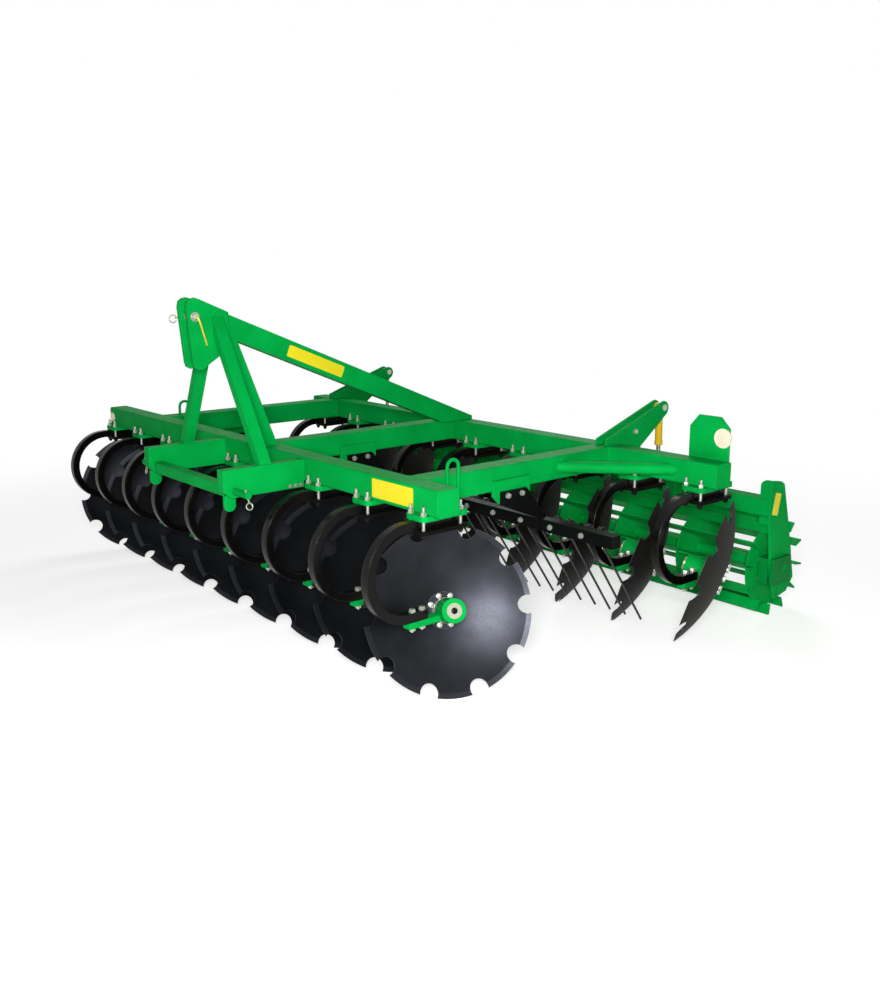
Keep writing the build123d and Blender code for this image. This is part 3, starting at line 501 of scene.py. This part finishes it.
# ---------------------------------------------------------------- hitch
# Two flat arms welded to the front beam, joined by a square tie. Each carries a category 2
# pin, enamelled with the arm, with a linchpin at its end, and a rounded lug under its tip.
coated(green_enamel, "hitch_arm_left", "hitch_arm_right", "hitch_tie", "lower_link_pins")
HITCH_X, ARM_X, ARM_HALF, PIN_OUT = 60, 331, 22.5, 98
LUG_Y, LUG_R, LUG_EYE_Z, LUG_BLOCK_Z = -388, 26, -156, -136
lugs = bmesh.new()
for side in (1, -1):
    x = HITCH_X + side * ARM_X
    # The arm against the front beam, then the tie and the mast's leg on the arm.
    for face in (-23, 23):
        weld(seams, [(x + face, -51, -14), (x + face, -51, -99)])
    weld(seams, [(x - 20, -51, -9), (x + 20, -51, -9)], size=3)
    inner = x - side * 23
    weld_round(seams, (inner, -402, -77), (inner, -359, -120))
    weld_round(seams, (x - 23, -254, -9), (x + 23, -202, -9), size=3)
    eye = turned_bar(lugs, LUG_R, LUG_R, 14, seat(at(x, LUG_Y, LUG_EYE_Z), (1, 0, 0)))
    block = bmesh.ops.create_cube(lugs, size=1.0, matrix=Matrix.Translation(at(x, LUG_Y, LUG_BLOCK_Z))
                                  @ Matrix.Diagonal((0.0132, 0.0516, 0.040, 1)))["verts"]
    rounded(lugs, edges_of(eye + block), 1.5)
made("hitch_chain_lugs", lugs, green_enamel, "frame")


def hoop(bm, place, radius, wire):
    """Closed ring of round wire, spun about its own middle; sizes in millimetres."""
    section = bmesh.ops.create_circle(bm, segments=8, radius=wire / 1000, matrix=place
                                      @ Matrix.Translation((radius / 1000, 0, 0))
                                      @ Matrix.Rotation(math.pi / 2, 4, "X"))["verts"]
    axis = place.to_3x3() @ Vector((0, 0, 1))
    bmesh.ops.spin(bm, geom=section + edges_of(section), cent=place.translation, axis=axis,
                   angle=2 * math.pi, steps=24, use_merge=True)
    bmesh.ops.remove_doubles(bm, verts=bm.verts, dist=1e-6)


# Linchpins: a short spring-wire ring that snaps over the pin's end.
clips = bmesh.new()
for side in (1, -1):
    end = HITCH_X + side * (ARM_X + ARM_HALF + PIN_OUT)
    turned_bar(clips, 4.5, 3.5, 56, seat(at(end, -375, -103), (side * 0.15, 0.2, -1)), 12)
    hoop(clips, seat(at(end + side * 8, -372, -141), (side * 0.6, -0.75, 0.1)), 13, 2.6)
hoop(clips, seat(at(HITCH_X - 66, -396, 562), (0.6, -0.75, 0.1)), 16, 2.4)
turned_bar(clips, 4.5, 3.5, 60, seat(at(HITCH_X - 60, -358, 571), (-0.1, -1, -0.2)), 12)
made("linchpins", clips, cap_steel, "frame")
arm_bolt = bmesh.new()
hexagon(arm_bolt, 13, 6)
stamped("hitch_arm_bolts", arm_bolt, [seat(at(HITCH_X + side * (ARM_X + ARM_HALF), y, -114), (side, 0, 0))
        for side in (1, -1) for y in (-118, -92, -66)], zinc, "frame")


# ---------------------------------------------------------------- mast
# Two head plates on three tube legs, with the long top bar running back from them. The top
# link pin goes through both plates and has a bent wire handle.
coated(green_enamel, "mast_head", "mast_legs", "mast_strut", "top_bar")
coated(zinc, "top_link_pin")
TOP_PIN = (-354, 573)
weld_round(seams, (33, -36, 2), (87, 29, 2))
for x in (31, 89):
    weld(seams, [(x, 1096, 2), (x, 1190, 2)])
for x in (33, 87):
    weld(seams, [(x, -202, 588), (x, -202, 440)], size=3)
# Yellow passivated wire: warm, between lemon and green, in patches about 14 mm wide.
yellow_zinc = mottled("yellow_passivated_steel", 70, 3, ("#d8d84a", "#a9b03a"), (0.28, 0.5), 0.1, 0.3, 0.5)


def rod_along(bm, points, radius, segments=10):
    """Round bar bent at each point, drawn out from one circle; sizes in millimetres."""
    path = [at(*p) for p in points]
    heading = (path[1] - path[0]).normalized()
    ring = bmesh.ops.create_circle(bm, cap_ends=True, segments=segments, radius=radius / 1000,
                                   matrix=seat(path[0], heading))["verts"]
    edges = edges_of(ring)
    for i in range(1, len(path)):
        ring, edges = drawn_out(bm, edges)
        bmesh.ops.translate(bm, vec=path[i] - path[i - 1], verts=ring)
        before = (path[i] - path[i - 1]).normalized()
        after = (path[min(i + 1, len(path) - 1)] - path[i]).normalized() or before
        mitre = (before + after).normalized()
        bend = heading.rotation_difference(mitre).to_matrix()
        bmesh.ops.rotate(bm, cent=path[i], matrix=bend, verts=ring)
        heading = mitre
    bmesh.ops.contextual_create(bm, geom=edges)


handle = bmesh.new()
rod_along(handle, [(108, *TOP_PIN), (122, *TOP_PIN), (129, -353, 570), (132, -350, 563), (132, -343, 543),
                   (129, -328, 497), (125, -316, 464), (122, -314, 457)], 4.5)
made("top_pin_handle", handle, yellow_zinc, "frame")
collar = bmesh.new()
turned_bar(collar, 20, 19, 7, seat(at(107, *TOP_PIN), (1, 0, 0)), 28)
turned_bar(collar, 15, 12, 10, seat(at(116, *TOP_PIN), (1, 0, 0)), 20)
rounded(collar, collar.edges, 0.8, 1)
made("top_pin_collar", collar, zinc, "frame")


# ---------------------------------------------------------------- tine bar
# Square tube on three brackets under the frame, with a row of double spring tines bolted
# behind it. The brackets are black like the bar; their upper lugs are green.
coated(green_enamel, "tine_bar_lugs")
# Sprayed black enamel: a thinner and duller coat than the legs' dipped one.
black_enamel = enamelled("black_sprayed_enamel", "#0d0e0e", "#090a0a", "#262724", 0.40, 0.05)
coated(black_enamel, "tine_bar", "tine_bar_arms")
TINES, TINE_PITCH = 17, DISC_PITCH / 2
TINE_BAR_Y, TINE_BAR_Z, TINE_BAR_HALF, TINE_FIRST = 653, -265, 25, REAR_FIRST - 27 - TINE_PITCH
LUG_BOLTS = [(x, side, y) for x, side in ((1085, 1), (-1085, -1), (50, 1)) for y in (452, 530)]
lug_bolt = bmesh.new()
hexagon(lug_bolt, 19, 9)
stamped("tine_bar_bracket_bolts", lug_bolt, [seat(at(x + side * 24, y, -118), (side, 0, 0))
        for x, side, y in LUG_BOLTS], zinc, "frame")

# Double tines: 10 mm spring wire wound twice round, then straight down to the tip. The
# bridge between the two coils is clamped to the bar by a plate and one bolt.
COIL_R, WIRE_R, COIL_PITCH, COIL_TURNS, COIL_STEPS = 24.0, 5.0, 10.4, 2, 30
COIL_Y, TIP_Y, TIP_Z = TINE_BAR_Y + TINE_BAR_HALF + COIL_R + WIRE_R, 972, -680
reach = Vector((0, TIP_Y - COIL_Y, TIP_Z - TINE_BAR_Z))
leave = math.atan2(reach.z, reach.y) + 2 * math.pi - math.acos(COIL_R / reach.length)
wound = leave - math.pi + COIL_TURNS * 2 * math.pi
WIDE = COIL_PITCH * wound / (2 * math.pi)
left_at = Vector((0, COIL_R * math.cos(leave), COIL_R * math.sin(leave)))
centres = [TINE_FIRST - TINE_PITCH * i for i in range(TINES)]
wires = bmesh.new()
for centre in centres:
    for side in (1, -1):
        outer = centre + side * TINE_PITCH / 4
        inner = outer - side * WIDE
        start = at(inner, COIL_Y - COIL_R, TINE_BAR_Z)
        ring = bmesh.ops.create_circle(wires, cap_ends=False, segments=8, radius=WIRE_R / 1000,
                                       matrix=Matrix.Translation(start))["verts"]
        coil = bmesh.ops.spin(wires, geom=ring + edges_of(ring), cent=at(inner, COIL_Y, TINE_BAR_Z),
                              axis=(1, 0, 0), dvec=(side * WIDE / COIL_STEPS / 1000, 0, 0), angle=wound,
                              steps=COIL_STEPS)
        last = [g for g in coil["geom_last"] if isinstance(g, bmesh.types.BMEdge)]
        tip, end_edges = drawn_out(wires, last)
        bmesh.ops.translate(wires, vec=(reach - left_at) / 1000, verts=tip)
        bmesh.ops.contextual_create(wires, geom=end_edges)
    bridge = 2 * (TINE_PITCH / 4 - WIDE + 3)
    turned_bar(wires, WIRE_R, WIRE_R, bridge, seat(at(centre, COIL_Y - COIL_R, TINE_BAR_Z), (1, 0, 0)), 8)
# Lacquered spring wire: black, and glossy enough to carry one bright line down its length.
lacquer = enamelled("lacquered_spring_wire", "#0e0d0c", "#090808", "#2c2923", 0.22, 0.5)
tine_wires = made("tine_wires", wires, lacquer, "frame")
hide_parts("tines")
clamp_plate = bmesh.new()
bmesh.ops.create_cube(clamp_plate, size=1.0, matrix=Matrix.Diagonal((0.034, 0.006, 0.036, 1)))
rounded(clamp_plate, clamp_plate.edges, 1.5)
stamped("tine_clamp_plates", clamp_plate, [Matrix.Translation(at(x, COIL_Y - COIL_R + 8, TINE_BAR_Z))
        for x in centres], black_enamel, "frame")
tine_bolt = bmesh.new()
hexagon(tine_bolt, 19, 8)
tine_nut = bmesh.new()
hexagon(tine_nut, 19, 9)
thread(tine_nut, 6, 0, 18)
stamped("tine_bolt_heads", tine_bolt, [seat(at(x, TINE_BAR_Y - TINE_BAR_HALF, TINE_BAR_Z), (0, -1, 0))
        for x in centres], zinc, "frame")
stamped("tine_bolt_nuts", tine_nut, [seat(at(x, COIL_Y - COIL_R + 11, TINE_BAR_Z), (0, 1, 0)) for x in centres],
        zinc, "frame")


# ---------------------------------------------------------------- roller
# Cage roller: twelve flat bars let into nine discs on a tube shaft, welded where they cross,
# and enamelled green as one piece.
coated(green_enamel, "roller_shaft", "roller_slats", "roller_discs")
axle_low, axle_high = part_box("roller_shaft")
ROLLER_Y, ROLLER_Z = (axle_low.y + axle_high.y) / 2, (axle_low.z + axle_high.z) / 2
SLATS, FIRST_SLAT, CAGE_DISCS, CAGE_PITCH = 12, 172, 9, 375
BEAD_X, BEAD_Y, BEAD_OUT = 4, 5.5, 183
beads = bmesh.new()
for i in range(SLATS):
    turn = Matrix.Rotation(math.radians(FIRST_SLAT + 360 / SLATS * i), 4, "X")
    for k in range(CAGE_DISCS):
        x = (k - (CAGE_DISCS - 1) / 2) * CAGE_PITCH
        for face in (-1, 1):
            for flat in (-1, 1):
                slat = Matrix.Translation((MIDDLE + (x + face * BEAD_X) / 1000, ROLLER_Y, ROLLER_Z)) @ turn
                corner = Matrix.Translation((0, flat * BEAD_Y / 1000, BEAD_OUT / 1000))
                turned_bar(beads, 3.5, 2.5, 9, slat @ corner, 5)
made("roller_welds", beads, green_enamel, "roller", angle=60)


# ---------------------------------------------------------------- roller frame
# Square beam between two end plates on two lifting arms. Each end plate carries a cast
# bearing housing outside and inside, held by four bolts.
coated(green_enamel, "roller_beam", "roller_end_plates", "roller_arms")
# Cast iron under enamel: the same green over a grain of 2 to 3 mm left by the sand mould.
cast_green = enamelled("enamelled_cast_iron", "#058c3d", "#047a34", "#1f9c55", 0.46, 0.04)
sand_place = add(cast_green, "TexCoord").outputs["Object"]
sand = add(cast_green, "TexNoise", {"Vector": sand_place, "Scale": 420.0, "Detail": 2.0}).outputs["Fac"]
cast_shader = cast_green.node_tree.nodes["Principled BSDF"]
under = cast_shader.inputs["Normal"].links[0].from_socket
sanded = add(cast_green, "Bump", {"Height": sand, "Strength": 0.35, "Distance": 0.0008, "Normal": under})
cast_green.node_tree.links.new(sanded.outputs["Normal"], cast_shader.inputs["Normal"])
coated(cast_green, "roller_bearings")
joints = bmesh.new()
for side in (1, -1):
    x = side * SIDE_X
    for face in (-17, 17):
        weld(joints, [(x + face, 1629, -238), (x + face, 1629, -317)], size=3.5)
    weld(joints, [(side * 1553, 1632, -241), (side * 1553, 1708, -241), (side * 1553, 1708, -315)], size=3.5)
made("roller_frame_welds", joints, green_enamel, "roller_frame")
housing_bolt = bmesh.new()
hexagon(housing_bolt, 19, 8)
AXLE_Y, AXLE_Z, FLANGE_X, LID_X = 1752, (ROLLER_Z - TOP) * 1000, 1509, 1505
stamped("roller_housing_bolts", housing_bolt, [seat(at(side * FLANGE_X, AXLE_Y + dy, AXLE_Z + dz), (-side, 0, 0))
        for side in (1, -1) for dy in (-84, 30) for dz in (-48, 42)], zinc, "roller_frame")
hub_lid = bmesh.new()
turned_bar(hub_lid, 36, 33, 8, Matrix(), 32)
rounded(hub_lid, hub_lid.edges, 2)
stamped("roller_bearing_lids", hub_lid, [seat(at(side * LID_X, AXLE_Y, AXLE_Z), (-side, 0, 0))
        for side in (1, -1)], cast_green, "roller_frame")


# ---------------------------------------------------------------- brackets and spindles
# Pairs of bent plates on the rear beam, which hold the roller arms' pivots and the depth
# spindles. A spindle is a yellow painted tube with a screwed rod running out of it.
coated(green_enamel, "roller_brackets")
coated(zinc, "bracket_pins", "spindle_foot_pins")
# Yellow alkyd enamel: warm and glossier than the green, and pale on its edges, where it is thin and as a painted
# highlight.
yellow_enamel = enamelled("yellow_alkyd_enamel", "#e8c022", "#dab01a", "#f0d870", 0.34, 0.2)
coated(yellow_enamel, "spindle_tube_left", "spindle_tube_right")
# Machined steel: grey and bright, with the thread's bands across the rod. They are 8 mm
# apart, because the real pitch of 4 mm is too fine to show.
thread_steel = bpy.data.materials.new("machined_thread_steel")
thread_steel.use_nodes = True
thread_shader = thread_steel.node_tree.nodes["Principled BSDF"]
thread_place = add(thread_steel, "TexCoord").outputs["Object"]
turns = add(thread_steel, "TexWave", {"Vector": thread_place, "Scale": 40.0, "Distortion": 0.0},
            bands_direction="Z").outputs["Fac"]
oil = add(thread_steel, "TexNoise", {"Vector": thread_place, "Scale": 90.0, "Detail": 3.0}).outputs["Fac"]
thread_tone = add(thread_steel, "Mix", {0: oil, 6: linear("#9a9b98"), 7: linear("#6e6d66")}, data_type="RGBA")
thread_dull = add(thread_steel, "MapRange", {"Value": oil, "To Min": 0.25, "To Max": 0.45})
thread_bump = add(thread_steel, "Bump", {"Height": turns, "Strength": 0.8, "Distance": 0.0012})
thread_steel.node_tree.links.new(thread_tone.outputs[2], thread_shader.inputs["Base Color"])
thread_steel.node_tree.links.new(thread_dull.outputs["Result"], thread_shader.inputs["Roughness"])
thread_steel.node_tree.links.new(thread_bump.outputs["Normal"], thread_shader.inputs["Normal"])
thread_shader.inputs["Metallic"].default_value = 1.0
coated(thread_steel, "spindle_rod_left", "spindle_rod_right")
ARM_PIVOT, BRACKET_TIP, SPINDLE_FOOT, PLATE_FACE = (1245, -85), (1505, 133), (1514, -150), 30
# The gland closes the tube's end, and the rod shows between it and the foot pin.
GLAND_R, GLAND_LENGTH, ROD_SHOWS = 19, 22, 104
for name, side in (("left", 1), ("right", -1)):
    x = side * SIDE_X
    top, foot = at(x, *BRACKET_TIP), at(x, *SPINDLE_FOOT)
    along = (foot - top).normalized()
    gland_at = foot - along * (ROD_SHOWS + GLAND_LENGTH / 2) / 1000
    gland = bmesh.new()
    turned_bar(gland, GLAND_R, GLAND_R, GLAND_LENGTH, seat(gland_at, along), 28)
    rounded(gland, gland.edges, 1.5)
    made("spindle_gland_" + name, gland, yellow_enamel, "spindle_tube_" + name)
    for hand in (1, -1):
        seam_x = x + hand * (PLATE_FACE + 1)
        weld(seams, [(seam_x, 1099, 2), (seam_x, 1190, 2)], size=3)
        weld(seams, [(seam_x, 1195, -4), (seam_x, 1195, -96)], size=3)
bracket_bolt = bmesh.new()
hexagon(bracket_bolt, 19, 8)
stamped("bracket_bolts", bracket_bolt, [seat(at(side * SIDE_X + hand * PLATE_FACE, 1295, 44), (hand, 0, 0))
        for side in (1, -1) for hand in (1, -1)], zinc, "frame")
washers = bmesh.new()
for side in (1, -1):
    for pin, radius in ((ARM_PIVOT, 24), (BRACKET_TIP, 16)):
        for hand in (1, -1):
            turned_bar(washers, radius, radius - 1, 4,
                       seat(at(side * SIDE_X + hand * (PLATE_FACE + 2), *pin), (hand, 0, 0)))
made("bracket_pin_washers", washers, zinc, "frame")


# ---------------------------------------------------------------- marker plate
# Folded sheet plate on the rear beam's end with a round white reflector, and a smaller
# reflector on the front beam's far end. Reflectors are moulded acrylic in a thin rim.
coated(green_enamel, "marker_plate")
lens = bpy.data.materials.new("white_reflector_acrylic")
lens.use_nodes = True
lens_shader = lens.node_tree.nodes["Principled BSDF"]
lens_place = add(lens, "TexCoord").outputs["Object"]
# Cube-corner prisms about 5 mm across give a faint honeycomb under the smooth face.
prisms = add(lens, "TexVoronoi", {"Vector": lens_place, "Scale": 210.0}, feature="F1").outputs["Distance"]
lens_tone = add(lens, "Mix", {0: prisms, 6: linear("#fff6e2"), 7: linear("#f0ddc2")}, data_type="RGBA")
lens_bump = add(lens, "Bump", {"Height": prisms, "Strength": 0.25, "Distance": 0.001})
lens.node_tree.links.new(lens_tone.outputs[2], lens_shader.inputs["Base Color"])
lens.node_tree.links.new(lens_bump.outputs["Normal"], lens_shader.inputs["Normal"])
lens_shader.inputs["Roughness"].default_value = 0.25
lens_shader.inputs["Coat Weight"].default_value = 0.6


def reflector(name, place, radius):
    """Shallow moulded dome in a raised rim; sizes in millimetres."""
    bm = bmesh.new()
    stepped(bm, radius, 0, ((0, 6), (3, -2), (radius * 0.25, 1.2), (radius * 0.3, 0.7)), 40)
    bmesh.ops.transform(bm, matrix=place, verts=bm.verts)
    return made(name, bm, lens, "frame", angle=50)


plate_front = (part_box("marker_plate")[0].y - FRONT) * 1000
reflector("marker_reflector", seat(at(1592, plate_front, 92), (0, -1, 0)), 40)
reflector("front_reflector", seat(at(-1512, -50, -50), (0, -1, 0)), 24)
for x in (1621, 1429):
    weld(seams, [(x, 1195, -4), (x, 1195, -68)], size=2.5)
made("frame_welds", seams, green_enamel, "frame", angle=60)


# ---------------------------------------------------------------- labels
# Blank yellow vinyl films with rounded corners, stuck to the front beam, the top bar and the
# two roller end plates. Nothing is printed on them.
# Cast film follows the enamel's waves, about 29 mm wide, so its gloss breaks up softly.
vinyl = mottled("yellow_vinyl_film", 35, 3, ("#f4e81c", "#ecd90f"), (0.3, 0.5), 0.1, 0.6)


def label(name, place, width, height, body):
    """Thin film with round corners, laid on a face; sizes in millimetres."""
    bm = bmesh.new()
    sheet = bmesh.ops.create_grid(bm, x_segments=1, y_segments=1, size=0.5)["verts"]
    bmesh.ops.scale(bm, vec=(width / 1000, height / 1000, 1), verts=sheet)
    bmesh.ops.bevel(bm, geom=list(bm.verts), offset=0.005, offset_type="OFFSET", segments=4, profile=0.5,
                    affect="VERTICES", material=-1)
    face = bmesh.ops.extrude_discrete_faces(bm, faces=list(bm.faces))["faces"]
    bmesh.ops.translate(bm, vec=(0, 0, 0.0006), verts=face[0].verts)
    bmesh.ops.transform(bm, matrix=place, verts=bm.verts)
    return made(name, bm, vinyl, body)


def facing(point, right, normal):
    """Matrix for a label: its width runs to the right and its face looks along the normal."""
    right, normal = Vector(right).normalized(), Vector(normal).normalized()
    turn = Matrix((right, normal.cross(right), normal)).transposed().to_4x4()
    return Matrix.Translation(point) @ turn


label("front_beam_label", facing(at(1007, -50.2, -49), (1, 0, 0), (0, -1, 0)), 246, 73, "frame")
label("top_bar_label", facing(at(89.2, 241, 354), (0, 292, -117), (1, 0, 0)), 313, 52, "frame")
for name, side in (("left", 1), ("right", -1)):
    label("end_plate_label_" + name, facing(at(side * 1567.2, 1674, -262), (0, -0.23, -1), (side, 0, 0)),
          100, 46, "roller_frame")


# ---------------------------------------------------------------- studio
# Plain pale floor that fades into a white surround, a soft lamp on the camera's side, a
# weaker one high behind the roller, and a camera at the machine's left front corner.
floor_mesh = bmesh.new()
bmesh.ops.create_circle(floor_mesh, cap_ends=True, segments=96, radius=14.0)
floor_data = bpy.data.meshes.new("floor")
floor_mesh.to_mesh(floor_data)
floor_mesh.free()
floor = bpy.data.objects.new("floor", floor_data)
bpy.context.scene.collection.objects.link(floor)
pale = bpy.data.materials.new("pale_studio_floor")
pale.use_nodes = True
floor_data.materials.append(pale)
pale.node_tree.nodes.remove(pale.node_tree.nodes["Principled BSDF"])
floor_place = add(pale, "TexCoord").outputs["Object"]


def looked_at(material):
    """1 where the camera, a reflection or glass looks at it, and 0 for light that it gives."""
    rays = add(material, "LightPath").outputs
    direct = add(material, "Math", {0: rays["Is Camera Ray"], 1: rays["Is Glossy Ray"]}, operation="MAXIMUM")
    return add(material, "Math", {0: direct.outputs["Value"], 1: rays["Is Transmission Ray"]},
               operation="MAXIMUM").outputs["Value"]


seen = looked_at(pale)
lit = add(pale, "BsdfDiffuse", {"Color": linear("#f2f2f1")}).outputs["BSDF"]
glow = add(pale, "Math", {0: seen, 1: 0.6}, operation="MULTIPLY").outputs["Value"]
lift = add(pale, "Emission", {"Color": (1, 1, 1, 1), "Strength": glow}).outputs["Emission"]
lit = add(pale, "AddShader", {0: lit, 1: lift}).outputs["Shader"]
white = add(pale, "Emission", {"Color": (1, 1, 1, 1), "Strength": 1.0}).outputs["Emission"]
away = add(pale, "VectorMath", {0: floor_place}, operation="LENGTH").outputs["Value"]
fade = add(pale, "MapRange", {"Value": away, "From Min": 2.2, "From Max": 4.5}, interpolation_type="SMOOTHSTEP")
fade = add(pale, "Math", {0: fade.outputs["Result"], 1: seen}, operation="MULTIPLY").outputs["Value"]
ground_look = add(pale, "MixShader", {0: fade, 1: lit, 2: white}).outputs["Shader"]
pale.node_tree.links.new(ground_look, pale.node_tree.nodes["Material Output"].inputs["Surface"])

scene = bpy.context.scene
world = bpy.data.worlds.new("studio")
world.use_nodes = True
scene.world = world
world.node_tree.nodes.remove(world.node_tree.nodes["Background"])
soft = add(world, "Background", {"Color": (1, 1, 1, 1), "Strength": 0.10}).outputs["Background"]
plain = add(world, "Background", {"Color": (1, 1, 1, 1), "Strength": 1.0}).outputs["Background"]
around = add(world, "MixShader", {0: looked_at(world), 1: soft, 2: plain}).outputs["Shader"]
world.node_tree.links.new(around, world.node_tree.nodes["World Output"].inputs["Surface"])


def softbox(name, place, target, size, watts):
    """Square area lamp that looks at a point."""
    data = bpy.data.lights.new(name, "AREA")
    data.shape, data.size, data.energy = "SQUARE", size, watts
    lamp = bpy.data.objects.new(name, data)
    scene.collection.objects.link(lamp)
    lamp.location = place
    lamp.rotation_euler = (target - place).to_track_quat("-Z", "Y").to_euler()


softbox("key_lamp", at(4000, -2420, 1000), at(600, 300, -300), 0.9, 215)
softbox("fill_lamp", at(-2600, 4600, 3200), at(0, 900, -300), 2.4, 85)

camera_data = bpy.data.cameras.new("camera")
camera = bpy.data.objects.new("camera", camera_data)
scene.collection.objects.link(camera)
camera.location = at(3880, -2291, 782)
camera.rotation_euler = (math.radians(90 - 11.29), 0, math.radians(49.25))
camera_data.lens, camera_data.sensor_width = 36.19, 36.0
camera_data.shift_y = -0.0349
camera_data.clip_end = 60.0
scene.camera = camera
scene.view_settings.view_transform = "Standard"
